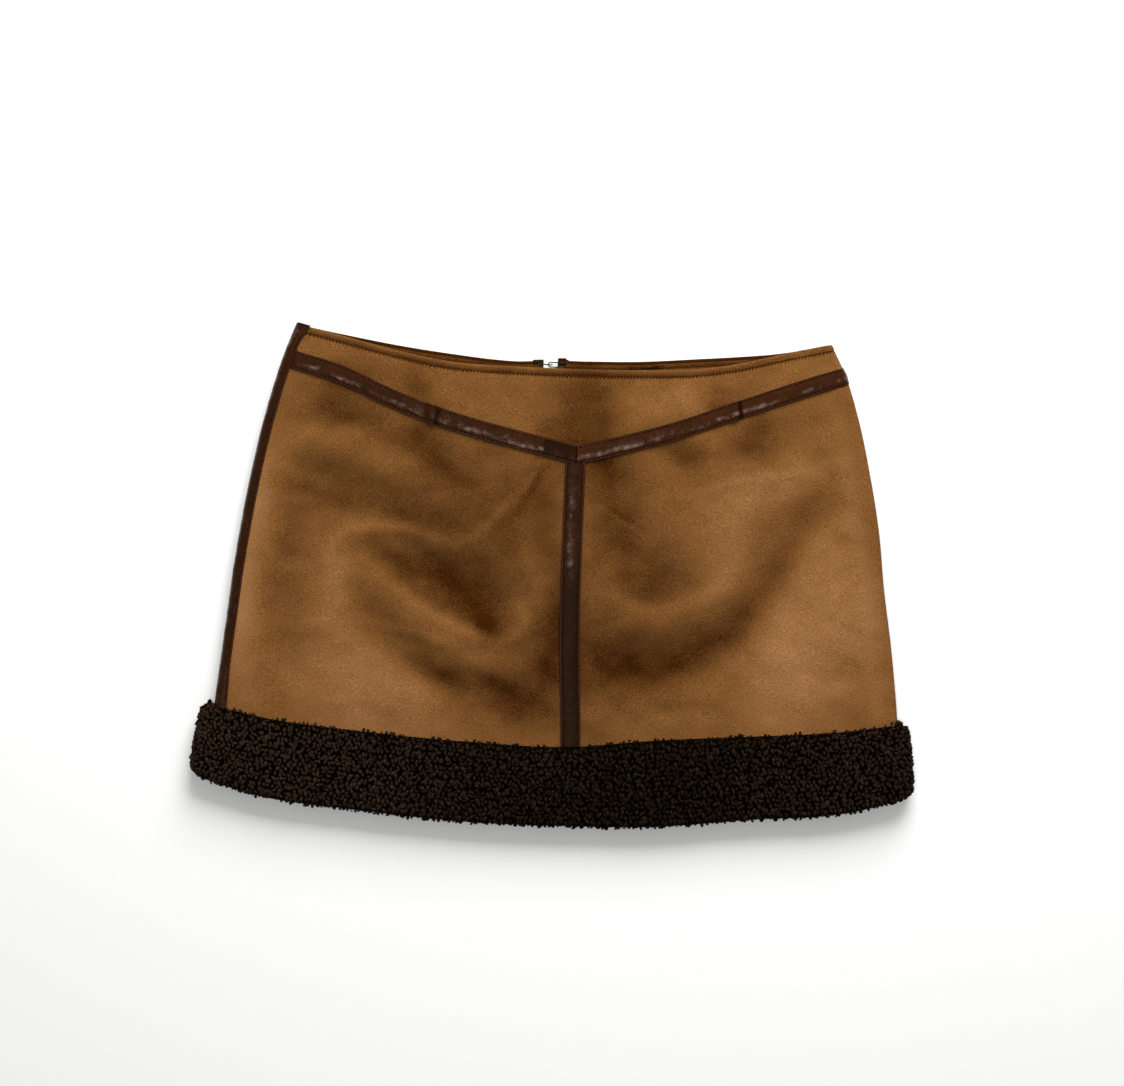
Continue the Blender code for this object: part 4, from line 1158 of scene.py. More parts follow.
def make_back_panels():
    """The two back panels, from the side seams to the zip at the centre back."""

    def flat_end(y):
        return np.full(np.shape(y), CENTRE_FLAT)

    def ramp_end(y):
        return np.full(np.shape(y), CENTRE_FLAT + STRIP_RAMP)

    half = SEAM_GAP / 2
    heights = Lines(
        *spaced(WAIST_LINES, 14),
        (at_height(RISE_END), 6),
        (at_height(RISE_END - SLIDER_RAMP), 30),
        (above(at_band, BAND_RAMP), 12),
        (above(at_band, HEM_GAP / 2), 0),
    )
    left = Lines(
        (back_line(SUEDE.round_left, back_edge_offset, -1), 5),
        (back_line(SUEDE.round_left, flat_end, -1), 5),
        (back_line(SUEDE.round_left, ramp_end, -1), 60),
        (beside(SUEDE.left_turn, -SIDE_TURN), 10),
        (beside(left_seam, -STRIP_WIDTH / 2), 3),
        (beside(left_seam, -LEFT_SEAM_GAP / 2), 0),
    )
    right = Lines(
        (beside(right_seam, half), 3),
        (beside(right_seam, STRIP_WIDTH / 2), 3),
        (beside(right_seam, SIDE_FLAT), 5),
        (beside(right_seam, SIDE_FLAT + STRIP_RAMP), 56),
        (back_line(SUEDE.round_right, ramp_end, 1), 5),
        (back_line(SUEDE.round_right, flat_end, 1), 5),
        (back_line(SUEDE.round_right, back_edge_offset, 1), 0),
    )

    def outside(c, r, s, y):
        x, share = SUEDE.place(s, y)
        below = below_waist(s, y)
        uneven = np.minimum(BACK_UNEVEN.at(x, y), 0.0) * smooth((y - band_top(x)) / BAND_RAMP)
        pressed = 0.35 * np.minimum(waist_puff(below, s), 0.0)
        return uneven * (1 - share) + pressed - rounding(below, SUEDE_WALL / 2)

    def inside(c, r, s, y):
        x, share = SUEDE.place(s, y)
        below = below_waist(s, y)
        uneven = np.maximum(BACK_UNEVEN.at(x, y), 0.0) * smooth((y - band_top(x)) / BAND_RAMP)
        roll = 0.5 * waist_puff(below, s) * smooth((8.0 - below) / 2.0)
        return -SUEDE_WALL - uneven * (1 - share) - roll + rounding(below, SUEDE_WALL / 2)

    def facts(c, r, s, y):
        found = nap_and_shade_facts(0)(c, r, s, y)
        below = below_waist(s, y)
        _, share = SUEDE.place(s, y)
        # The back is painted darker along its top edge, with painted shade in the waist's groove
        # and pleats, and a little darker all over
        found["nap"] = found["nap"] - 1.1 * (1 - smooth((below - 1.3) / 1.0)) * (1 - share)
        found["nap"] = found["nap"] - 0.8 * waist_shade(below, s) - 0.15 * (1 - share)
        found["below"] = np.clip(below, 0.0, 14.0)
        return found

    suede = shared("suede_nap", suede_material)
    for name, node, girth in (
        ("back_left_suede", "back_left", left),
        ("back_right_suede", "back_right", right),
    ):
        panel = cloth(SUEDE, girth, heights, outside, inside, 0.0, facts)
        piece = show(name, panel, suede, SKIRT_BODY, [node])


# ---- leather strips -------------------------------------------------------------------------

STITCH_INSET = 1.45
STRIP_EDGE = 0.42
STRIP_SKIN = 1.1
THREAD_SINK = 0.12
CROSS_STEPS = (0.0, 0.12, 0.3, 0.6, 0.95, 1.25, 1.65, 2.1, 2.8, 3.8, 5.0)
LAP = 3.4
LAP_RAMP = 5.0
SIDE_STRIP_TRIM = 1.7
TAB_WIDEN = 2.4
TAB_FALL = 13.0


def strip_surface(across, width, along, seed):
    """A strip's outer face over its flat form: round edges, stitch grooves and a soft dome.

    across is the distance from the strip's first edge, and along the distance on its length.
    """
    edge = np.minimum(across, width - across)
    pitch = looks().stitch_pitch / MM
    inner = np.clip((edge - STITCH_INSET) / (width / 2 - STITCH_INSET), 0.0, 1.0)
    dome = 0.46 * (1 - (1 - inner) ** 2)
    groove = -0.17 * bell(edge - STITCH_INSET, 0.4)
    drawn = 0.08 * np.cos(2 * math.pi * along / pitch)
    drawn = drawn * bell(edge - STITCH_INSET, 0.9)
    soft = smooth((edge - 1.8) / 1.8)
    wrinkles = 0.09 * waves(along, across * 0.5, 9.0, seed)
    wrinkles = wrinkles + 0.045 * waves(along, across, 4.0, seed + 1)
    return dome + groove + drawn + soft * wrinkles - rounding(edge, STRIP_EDGE)


def painted_highlight_streak(across, width, along, seed, middle=0.66):
    """Where a strip is rubbed light: in patches along a line at a share of its width."""
    patches = 0.6 + 0.45 * waves(along, 0.3 * across, 26.0, seed)
    patches = patches + 0.3 * waves(along, across, 7.0, seed + 1)
    drift = middle + 0.04 * waves(along, 0.0 * across, 30.0, seed + 2)
    return bell(across / width - drift, 0.10) * np.clip(patches, 0.0, 1.8)


def strip_facts(edge, ends, worn=0.0, seam=0.95, painted_shadow_at=9.0, rub=0.0):
    """Where a strip shows its dyed edge line, its turned lip, its stitch line and its wear."""
    line = np.maximum(0.9 * bell(edge, 0.42), seam * bell(ends, 1.1))
    line = np.maximum(line, 0.5 * bell(edge - STITCH_INSET, 0.38))
    # Painted shadow: the line darkens where the raised end of the length before casts its shadow
    line = np.maximum(line, 0.95 * bell(painted_shadow_at, 1.5))
    lip = 1 - smooth((edge - STITCH_INSET + 0.3) / 0.5)
    return {"line": line, "lip": lip, "worn": worn, "rub": rub}


def cross_rows(width, line_at):
    """Lines across a strip, close together at its edges: line_at gives the line at a distance."""
    steps = [step for step in CROSS_STEPS if step < width / 2 - 0.6]
    distances = steps + [width / 2] + [width - step for step in reversed(steps)]
    return spaced([line_at(distance) for distance in distances], 0)


# The strip over the yoke's slanted seam: its five lengths, how high each laps over the next, how
# worn and glossy each is with its painted sheen, how dark its end is, and whether its start lies
# under the one before
Span = namedtuple("Span", "name node start end steps lap worn seam under")
YOKE_SPANS = (
    Span("strip_left_outer", "yoke_strip_left_outer",
         beside(left_front_edge, -SIDE_STRIP_TRIM - 0.4),
         beside(left_join, 0.4), 140, 1.35, 0.5, 0.95, False),
    Span("strip_left_inner", "yoke_strip_left_inner", beside(left_join, -LAP),
         beside(tip_join, 1.2), 100, 0.3, 0.6, 0.5, True),
    Span("strip_left_tip", "yoke_strip_left_tip", beside(tip_join, -1.2),
         beside(centre_front, 0.8), 40, 0.9, -0.6, 0.95, False),
    Span("strip_right_inner", "yoke_strip_right_inner", beside(centre_front, -0.5),
         beside(right_join, 0.4), 150, 1.35, 0.9, 0.95, False),
    Span("strip_right_outer", "yoke_strip_right_outer", beside(right_join, -LAP),
         beside(right_strip_edge, -SEAM_GAP), 134, 0.0, 0.9, 0.95, True),
)


def lap_lift(span, s, y):
    """How far a strip's end is raised over its neighbour."""
    from_end = span.end(y) - s
    return span.lap * (1 - smooth((from_end - LAP - 1.0) / LAP_RAMP))


def pressed_thin(s, y):
    """How much thinner the slanted strip is where it turns round the right fold."""
    return 0.85 * smooth((s - right_fold_start(y) + 4.0) / 12.0)


def make_yoke_strips():
    """The five lengths of strip over the slanted yoke seam, each lapped over the next."""
    leather = shared("creased_leather", leather_material)
    width = 2 * YOKE_STRIP_RISE
    across_rows = cross_rows(width, lambda distance: above(at_yoke, YOKE_STRIP_RISE - distance))
    heights = Lines(*across_rows)
    for seed, span in enumerate(YOKE_SPANS):

        def across(s, y):
            return YOKE_STRIP_RISE - (y - yoke_seam(s))

        def end(y, span=span):
            """The strip's end, round at its corners where it laps over the next."""
            last = span.end(y)
            edge = YOKE_STRIP_RISE - np.abs(y - yoke_seam(last))
            return last - (1.3 if span.lap > 1.0 else 0.0) * bell(edge, 1.4)

        def from_ends(s, y, span=span, end=end):
            return np.minimum(s - span.start(y), end(y) - s)

        def outside(c, r, s, y, seed=seed, span=span, from_ends=from_ends):
            form = strip_surface(across(s, y), width, s, 40 + 3 * seed)
            ends = rounding(from_ends(s, y), 0.6)
            skin = STRIP_SKIN + form - pressed_thin(s, y)
            return SEAM_GAP + skin + lap_lift(span, s, y) - ends

        def inside(c, r, s, y, span=span):
            return SEAM_GAP + lap_lift(span, s, y)

        def facts(c, r, s, y, from_ends=from_ends, span=span):
            edge = np.minimum(across(s, y), width - across(s, y))
            # Where the painted shadow of the lapped end before falls
            painted_shadow_at = s - span.start(y) - LAP - 1.1 if span.under else 9.0
            # Painted highlight streaks along the strip, stronger on the more worn lengths
            rub = painted_highlight_streak(across(s, y), width, s, 300 + int(10 * span.worn))
            rub = rub * (0.75 + 0.5 * span.worn)
            return strip_facts(edge, from_ends(s, y), span.worn, span.seam, painted_shadow_at, rub)

        mid = share_between(span.start, span.end, 0.5)
        girth = Lines(
            (span.start, 1),
            (beside(span.start, 0.3), 1),
            (beside(span.start, 0.8), span.steps // 2),
            (mid, span.steps // 2),
            (beside(end, -0.8), 1),
            (beside(end, -0.3), 1),
            (end, 0),
        )
        mesh = cloth(SUEDE, girth, heights, outside, inside, YOKE_START_Y, facts)
        show(span.name, mesh, leather, SKIRT_BODY, [span.node])


def side_tab(s, y):
    """The left side strip's front edge: drawn back, but wider where it turns over the waist."""
    below = below_waist(s, y)
    return TAB_WIDEN * (1 - smooth(below / TAB_FALL)) - SIDE_STRIP_TRIM


def make_upright_strips():
    """The strips over the centre front, the side seams and beside the zip."""
    leather = shared("creased_leather", leather_material)
    half_centre = CENTRE_STRIP_WIDTH / 2

    def upright(name, node, line, width, heights, lift, seed, skin=STRIP_SKIN, far=None, wear=None,
                highlight_at=None):
        """A strip from a line to another at its width, or to the line far.

        wear and polish give how worn and how rubbed it is at y.
        """
        far = far or beside(line, width)

        def at_share(distance):
            return share_between(line, far, distance / width)

        girth = Lines(*cross_rows(width, at_share))

        def across(s, y):
            return (s - line(y)) / (far(y) - line(y)) * width

        def outside(c, r, s, y):
            return lift + skin + strip_surface(across(s, y), width, y, seed)

        def facts(c, r, s, y):
            edge = np.minimum(across(s, y), width - across(s, y))
            worn = wear(y) if wear else 0.0
            # Painted highlight streaks along the strip
            rub = painted_highlight_streak(across(s, y), width, y, seed + 300, 0.42)
            rub = rub * (highlight_at(y) if highlight_at else 0.3)
            return strip_facts(edge, heights.lines[0](s, y) - y, worn, rub=rub)

        mesh = cloth(SUEDE, girth, heights, outside, level(lift), 0.0, facts)
        return show(name, mesh, leather, SKIRT_BODY, [node])

    centre_heights = Lines(
        (above(at_yoke, -YOKE_STRIP_RISE + 1.5), 190),
        (above(at_band, HEM_GAP / 2), 0),
    )

    # How strong the centre strip's painted highlight is: none low down, strongest on its upper
    # half
    def centre_highlight(y):
        return smooth((y + 22.0) / 24.0) * (0.4 + 0.8 * bell(y - 14.0, 24.0))

    upright("strip_centre_front", "centre_front_strip", beside(centre_front, -half_centre),
            CENTRE_STRIP_WIDTH, centre_heights, SEAM_GAP, 60,
            wear=lambda y: 1.3 * smooth((y + 30.0) / 60.0) - 1.2, highlight_at=centre_highlight)

    def side_heights(steps, overhang=STRIP_OVERHANG, top=at_waist):
        return Lines(
            (above(top, overhang), 1),
            (above(top, overhang - 0.4), 1),
            (above(top, overhang - 1.0), steps // 3),
            (at_height(RISE_END), steps // 8),
            (at_height(RISE_END - SLIDER_RAMP), steps // 2),
            (above(at_band, BAND_RAMP), steps // 6),
            (above(at_band, HEM_GAP / 2), 0),
        )

    def left_far(y):
        s = left_seam(y) + STRIP_WIDTH / 2
        return s + side_tab(s, y)

    def left_top(s, y):
        """The left strip's end over the waist, round at the side's corner."""
        from_edge = s - left_seam(y) + STRIP_WIDTH / 2
        return at_waist(s, y) - 2.6 * bell(from_edge, 2.2)

    upright("strip_side_left", "side_strip_left", beside(left_seam, -STRIP_WIDTH / 2),
            STRIP_WIDTH, side_heights(240, top=left_top), SIDE_STRIP_LIFT, 63, far=left_far,
            wear=lambda y: np.full(y.shape, 0.4), highlight_at=lambda y: 0.7)
    upright("strip_side_right", "side_strip_right", beside(right_seam, -STRIP_WIDTH / 2),
            STRIP_WIDTH, side_heights(160, -0.6), SIDE_STRIP_LIFT, 66, 0.9)

    def outer_edge(y):
        return back_strip_offset(y) + BACK_STRIP_WIDTH

    upright("strip_back_left", "back_strip_left",
            back_line(SUEDE.round_left, back_strip_offset, -1), BACK_STRIP_WIDTH,
            side_heights(160), SEAM_GAP, 69, 0.9)
    upright("strip_back_right", "back_strip_right",
            back_line(SUEDE.round_right, outer_edge, 1), BACK_STRIP_WIDTH,
            side_heights(160), SEAM_GAP, 72, 0.9)
    make_back_tabs(leather)


BACK_TAB = {"left": (6.8, 0.7, 2.4), "right": (5.7, 1.5, 3.4)}  # width, rise over the edge, depth


def make_back_tabs(leather):
    """The ends of the strips beside the zip, turned over the waist onto the back's inside."""
    for side, tube_round, way in (("left", SUEDE.round_left, -1), ("right", SUEDE.round_right, 1)):
        width, rise, depth = BACK_TAB[side]

        def line(share, tube_round=tube_round, way=way, width=width):
            return lambda y: tube_round(
                centre_back(y) + way * (back_edge_offset(y) + 0.1 + share * width), y
            )

        shares = np.array((0.0, 0.06, 0.3, 0.7, 0.94, 1.0))
        ordered = shares if way < 0 else 1 - shares
        girth = Lines(*spaced([line(share) for share in ordered], 0, 2))
        heights = Lines(
            (above(at_waist, rise), 1),
            (above(at_waist, rise - 0.4), 1),
            (above(at_waist, 0.15), 1),
            (above(at_waist, 0.1), 3),
            (above(at_waist, 0.5 - depth), 1),
            (above(at_waist, -depth), 0),
        )

        def outside(c, r, s, y, rise=rise):
            over = y - at_waist(s, y)
            return np.where(over > 0.12, SEAM_GAP + 0.75 - 0.5 * smooth((over - rise + 0.6) / 0.6),
                            -SUEDE_WALL - 0.05)

        def inside(c, r, s, y, rise=rise, depth=depth):
            over = y - at_waist(s, y)
            ends = smooth((over - rise + 0.6) / 0.6) + smooth((-over - depth + 0.5) / 0.5)
            return -SUEDE_WALL - 0.95 + 0.45 * ends

        def facts(c, r, s, y, depth=depth):
            edge = np.minimum(c, girth.count - c) / girth.count * width
            return strip_facts(edge, y - at_waist(s, y) + depth)

        mesh = cloth(SUEDE, girth, heights, outside, inside, 150.0, facts)
        show("tab_back_" + side, mesh, leather, SKIRT_BODY)


# ---- things repeated many times -------------------------------------------------------------


def realised(name, prototype, places, turns, sizes, facts):
    """Copies of a prototype on points, as one mesh: a Geometry Nodes instance on each, realised.

    places are plan millimetres, turns are quaternions (w, x, y, z), and sizes scale each copy.
    """
    points = bpy.data.meshes.new(name)
    points.vertices.add(len(places))
    points.vertices.foreach_set("co", to_world(places).astype(np.float32).ravel())
    turn = points.attributes.new("turn", "QUATERNION", "POINT")
    turn.data.foreach_set("value", np.asarray(turns, np.float32).ravel())
    size = points.attributes.new("size", "FLOAT_VECTOR", "POINT")
    size.data.foreach_set("vector", np.asarray(sizes, np.float32).ravel())
    for fact, values in facts.items():
        layer = points.attributes.new(fact, "FLOAT", "POINT")
        layer.data.foreach_set("value", np.asarray(values, np.float32))
    holder = placed(name, points)
    sample = placed(name + "_prototype", prototype)

    tree = bpy.data.node_groups.new(name, "GeometryNodeTree")
    tree.interface.new_socket("Geometry", in_out="INPUT", socket_type="NodeSocketGeometry")
    tree.interface.new_socket("Geometry", in_out="OUTPUT", socket_type="NodeSocketGeometry")
    nodes = tree.nodes
    start = nodes.new("NodeGroupInput")
    end = nodes.new("NodeGroupOutput")
    copy = nodes.new("GeometryNodeObjectInfo")
    copy.inputs["Object"].default_value = sample
    copy.inputs["As Instance"].default_value = True
    spread = nodes.new("GeometryNodeInstanceOnPoints")
    realise = nodes.new("GeometryNodeRealizeInstances")
    link = tree.links.new
    for kind, fact, socket in (
        ("QUATERNION", "turn", "Rotation"), ("FLOAT_VECTOR", "size", "Scale")
    ):
        read = nodes.new("GeometryNodeInputNamedAttribute")
        read.data_type = kind
        read.inputs["Name"].default_value = fact
        link(read.outputs["Attribute"], spread.inputs[socket])
    link(start.outputs[0], spread.inputs["Points"])
    link(copy.outputs["Geometry"], spread.inputs["Instance"])
    link(spread.outputs["Instances"], realise.inputs["Geometry"])
    link(realise.outputs["Geometry"], end.inputs[0])
    modifier = holder.modifiers.new("spread", "NODES")
    modifier.node_group = tree
    graph = bpy.context.evaluated_depsgraph_get()
    graph.update()
    mesh = bpy.data.meshes.new_from_object(holder.evaluated_get(graph))
    mesh.name = name
    for item in (holder, sample):
        bpy.data.objects.remove(item, do_unlink=True)
    bpy.data.node_groups.remove(tree)
    mesh.shade_smooth()
    return mesh


def quaternions(along, out):
    """Turns that take +X to along and +Z to out, for arrays of unit vectors."""
    side = np.cross(out, along)
    side /= np.linalg.norm(side, axis=-1, keepdims=True)
    along = np.cross(side, out)
    turns = []
    for x_axis, y_axis, z_axis in zip(along, side, out):
        matrix = Matrix((x_axis, y_axis, z_axis)).transposed()
        turns.append(tuple(matrix.to_quaternion()))
    return np.array(turns)


def joined(meshes, name):
    """Several meshes as one."""
    bm = bmesh.new()
    for mesh in meshes:
        bm.from_mesh(mesh)
        bpy.data.meshes.remove(mesh)
    mesh = finished(bm, name)
    mesh.shade_smooth()
    return mesh


# ---- stitches -------------------------------------------------------------------------------


SIDE_STITCHES = (168.0, -94.0)  # heights from and to which a row runs
LEFT_INNER_TOP = 165.0
CENTRE_STITCH_TOP = 80.5
BACK_STITCHES = (150.0, -108.0)
# Loose thread inside the back's waist: places across, and the depth below the edge
THREAD_ENDS = ((60.0, 71.0, 3.6), (43.0, 66.0, 4.4), (52.0, 69.0, 5.0))


def stitch_prototype():
    """One stitch: a short thread, thin at both ends, one millimetre long."""
    bm = bmesh.new()
    bmesh.ops.create_uvsphere(bm, u_segments=5, v_segments=4, radius=0.5)
    bmesh.ops.rotate(bm, verts=bm.verts[:], matrix=Matrix.Rotation(math.pi / 2, 3, "Y"))
    bmesh.ops.scale(bm, verts=bm.verts[:], vec=(MM, MM, MM))
    return finished(bm, "stitch")


def stitch_line(s, y, lift, pitch, seed):
    """Stitches along a line of girth places and heights: their places, ways along and ways out."""
    points = SUEDE.lifted(s, y, lift)
    steps = np.linalg.norm(np.diff(points, axis=0), axis=-1)
    run = np.concatenate([[0], np.cumsum(steps)])
    marks = np.arange(pitch / 2, run[-1], pitch)
    rng = np.random.default_rng(seed)
    marks = np.clip(marks + rng.normal(0, 0.12, len(marks)), 0.3, run[-1] - 0.3)

    def at(marks):
        return np.stack([np.interp(marks, run, points[:, k]) for k in range(3)], axis=-1)

    here = at(marks)
    ahead, behind = at(marks + 0.3), at(marks - 0.3)
    along = (ahead - behind) / np.linalg.norm(ahead - behind, axis=-1, keepdims=True)
    out = SUEDE.normal(np.interp(marks, run, s), np.interp(marks, run, y))
    return here, along, out


def stitch_piece(name, lines, material, seed, pitch=None):
    """All of a piece's stitch lines as one mesh; each line is (s, y, lift)."""
    look = looks()
    pitch = (pitch or look.stitch_pitch) / MM
    found = [
        stitch_line(s, y, lift, pitch, seed + k) for k, (s, y, lift) in enumerate(lines)
    ]
    here, along, out = [np.concatenate(part) for part in zip(*found)]
    rng = np.random.default_rng(seed + 100)
    length = min(look.stitch_length / MM, 0.8 * pitch) * rng.uniform(0.9, 1.1, len(here))
    width = look.thread_width / MM * rng.uniform(0.9, 1.1, len(here))
    sizes = np.stack([length, width, width], axis=-1)
    mesh = realised(name, stitch_prototype(), here, quaternions(along, out), sizes, {})
    return show(name, mesh, material, SKIRT_BODY)


def make_stitches():
    """The rows of stitches along both edges of every strip, and below the waist edge."""
    look = looks()
    dark = shared("thread_dark", lambda: thread_material("thread_dark", look.thread_colour))
    tan = shared("thread_tan", lambda: thread_material("thread_tan", look.waist_thread_colour))
    rise = YOKE_STRIP_RISE - STITCH_INSET

    def slanted(span, first, offset):
        """A row along one length of the slanted strip, from first to its end."""
        y = np.full(200, YOKE_START_Y)
        share = np.linspace(0, 1, 200)
        for _ in range(7):
            s = first(y) * (1 - share) + (span.end(y) - 1.0) * share
            y = yoke_seam(s) + offset
        lift = SEAM_GAP + STRIP_SKIN - THREAD_SINK - pressed_thin(s, y)
        return s, y, lift + lap_lift(span, s, y)

    lines = []
    lap_end = None
    for span in YOKE_SPANS:
        first = beside(lap_end, 0.5) if lap_end else beside(span.start, 1.0)
        lap_end = span.end if span.lap else None
        lines += [slanted(span, first, offset) for offset in (rise, -rise)]
    stitch_piece("stitches_yoke", lines, dark, 200)

    def upright(line, top, bottom, lift):
        y = np.linspace(top, bottom, 240)
        return line(y), y, np.full(y.shape, lift)

    inset = CENTRE_STRIP_WIDTH / 2 - STITCH_INSET
    low = float(band_top(10.0)) + 1.0
    on_leather = SEAM_GAP + STRIP_SKIN - THREAD_SINK
    lines = [
        upright(beside(centre_front, side * inset), CENTRE_STITCH_TOP, low, on_leather)
        for side in (-1, 1)
    ]
    stitch_piece("stitches_centre_front", lines, dark, 220)

    def left_inner(y):
        s = left_front_edge(y)
        return s + side_tab(s, y) - STITCH_INSET

    outer = beside(left_seam, STITCH_INSET - STRIP_WIDTH / 2)
    on_side = SIDE_STRIP_LIFT + STRIP_SKIN - THREAD_SINK
    lines = [
        upright(outer, *SIDE_STITCHES, on_side),
        upright(left_inner, LEFT_INNER_TOP, SIDE_STITCHES[1], on_side),
    ]
    inset = STRIP_WIDTH / 2 - STITCH_INSET
    for side in (-1, 1):
        lines.append(upright(beside(right_seam, side * inset), *SIDE_STITCHES, on_side - 0.2))
    stitch_piece("stitches_sides", lines, dark, 240)

    lines = []
    for tube_round, side in ((SUEDE.round_left, -1), (SUEDE.round_right, 1)):
        for inset in (STITCH_INSET, BACK_STRIP_WIDTH - STITCH_INSET):

            def line(y, tube_round=tube_round, side=side, inset=inset):
                return tube_round(centre_back(y) + side * (back_strip_offset(y) + inset), y)

            lines.append(upright(line, *BACK_STITCHES, on_leather - 0.2))
    stitch_piece("stitches_back", lines, dark, 260)

    def waist_row(start, end, lift, count, depth=STITCH_DEPTH):
        s = np.linspace(start, end, count)
        y = np.full(count, 150.0)
        for _ in range(8):
            y = at_waist(s, y) - depth
        return s, y, np.full(count, lift)

    first = float(left_front_edge(165.0)) + 1.0
    last = float(right_strip_edge(165.0)) - 1.0
    left_end = float(left_seam(165.0)) - STRIP_WIDTH / 2 - 1.0
    right_start = float(right_seam(165.0)) + STRIP_WIDTH / 2 + 1.0
    left_back = (float(SUEDE.round_left(-27.0, 148.0)), left_end)
    right_back = (right_start, float(SUEDE.round_right(2.0, 148.0)))
    lines = [waist_row(first, last, -0.52, 700)]
    for start, end in (left_back, right_back):
        lines.append(waist_row(start, end, -0.2, 400))
        lines.append(waist_row(start, end, -SUEDE_WALL - 0.05, 400))
    stitch_piece("stitches_waist", lines, tan, 280, look.waist_stitch_pitch)
    # The thread ends that lie inside the back's waist
    ends = [
        waist_row(float(SUEDE.round_right(end, 150.0)), float(SUEDE.round_right(start, 150.0)),
                  -SUEDE_WALL - 0.2, 60, depth)
        for start, end, depth in THREAD_ENDS
    ]
    stitch_piece("stitches_waist_inside", ends, dark, 320, look.waist_stitch_pitch)


# ---- pile band ------------------------------------------------------------------------------

BAND_ROUND = ((0.0, 4.6), (0.6, 3.6), (1.6, 2.2), (3.0, 1.1), (5.0, 0.5), (8.0, 0.2))
GROUND_DEPTH = 2.1


def band_drop(inset):
    """How far the band's face lies below its full height near its edges."""
    insets, drops = zip(*BAND_ROUND, (12.0, 0.0))
    return np.interp(inset, insets, drops)


def band_edges(s, y):
    x, _ = BAND.place(s, y)
    return band_top(x) - HEM_GAP / 2, hem_edge(x)


def band_seam_left(y):
    return BAND.left_turn(y) + LEFT_SEAM_FORWARD


def band_seam_right(y):
    return BAND.right_turn(y) + RIGHT_SEAM_BEHIND


def band_seam_right_behind(y):
    radius = BAND.radius(BAND.right(y), y)
    x = BAND.right(y) - radius - RIGHT_SEAM_BEHIND + radius * math.pi / 2
    return BAND.round_left(x, y)


def crown(mesh):
    """Marks how high each point of a curl stands, from -1 at its foot to 1 at its top."""
    heights = np.array([vert.co.z for vert in mesh.vertices])
    layer = mesh.attributes.new("crown", "FLOAT", "POINT")
    layer.data.foreach_set("value", (heights / np.abs(heights).max()).astype(np.float32))
    return mesh


# The pile's knobs: how bent, long and lumpy each is
KNOBS = ((0.0, 1.1, 0.16), (0.5, 1.35, 0.14), (-0.7, 1.45, 0.12), (0.15, 1.15, 0.24))


def curl_prototypes():
    """Curls of the pile, one millimetre wide: round knobs, bent beans and open rings."""
    made = []

    def keep(bm):
        made.append(crown(finished(bm, "curl")))

    for bend, long, lump in KNOBS:
        bm = bmesh.new()
        bmesh.ops.create_icosphere(bm, subdivisions=2, radius=0.5)
        for vert in bm.verts:
            x, y, z = vert.co
            swell = 1.0 + lump * math.sin(11.0 * x + 4.0 * y) + lump * math.sin(8.0 * z - 10.0 * y)
            vert.co = Vector((x * long, y * swell + bend * x * x, z * swell)) * MM
        keep(bm)
    bm = bmesh.new()
    ring = bmesh.ops.create_circle(bm, segments=6, radius=0.19, cap_ends=True)
    bmesh.ops.rotate(bm, verts=ring["verts"], matrix=Matrix.Rotation(math.pi / 2, 3, "X"))
    bmesh.ops.translate(bm, verts=ring["verts"], vec=(0.36, 0.0, 0.0))
    bmesh.ops.spin(
        bm, geom=bm.faces[:], cent=(0, 0, 0), axis=(0, 0, 1), angle=math.radians(285), steps=9,
        dvec=(0.0, 0.0, 0.02),
    )
    bmesh.ops.scale(bm, verts=bm.verts[:], vec=(MM, MM, MM))
    bmesh.ops.recalc_face_normals(bm, faces=bm.faces[:])
    keep(bm)
    return made


BAND_MIDDLE = -138.0
CURL_BAND = 58.0
CURL_JITTER = 0.34
CURL_SHARES = (0.26, 0.26, 0.16, 0.24, 0.08)
# Where the pile's top edge stands higher: place and rise
TUFTS = ((-187, 1.6), (-110, 1.6), (193, 1.0), (240, 1.5))


def curl_places(start, end, spacing, seed):
    """A jittered grid of places for curls on the band, between two girth lines."""
    rng = np.random.default_rng(seed)
    first, last = float(start(BAND_MIDDLE)), float(end(BAND_MIDDLE))
    columns = int((last - first) / spacing)
    rows = int(CURL_BAND / (spacing * 0.95))
    c, r = np.meshgrid(np.arange(columns), np.arange(rows))
    c = c.ravel() + 0.5 * (r.ravel() % 2) + rng.uniform(-CURL_JITTER, CURL_JITTER, c.size)
    r = r.ravel() + rng.uniform(-CURL_JITTER, CURL_JITTER, r.size)
    share = (c + 0.25) / columns
    depth = (r - 0.1) / (rows - 1.0)
    y = np.full(c.size, BAND_MIDDLE)
    for _ in range(6):
        s = start(y) * (1 - share) + end(y) * share
        top, hem = band_edges(s, y)
        tuft = np.sin(s * 0.19 + 1.7 * np.sin(s * 0.041)) * np.sin(s * 0.083) - 0.2
        tuft = tuft + sum(rise * bell(s - place, 6.0) for place, rise in TUFTS)
        y = top + tuft - (top - hem + tuft + 0.1) * depth
    inset = np.minimum(top - y, y - hem)
    return s, y, inset, rng


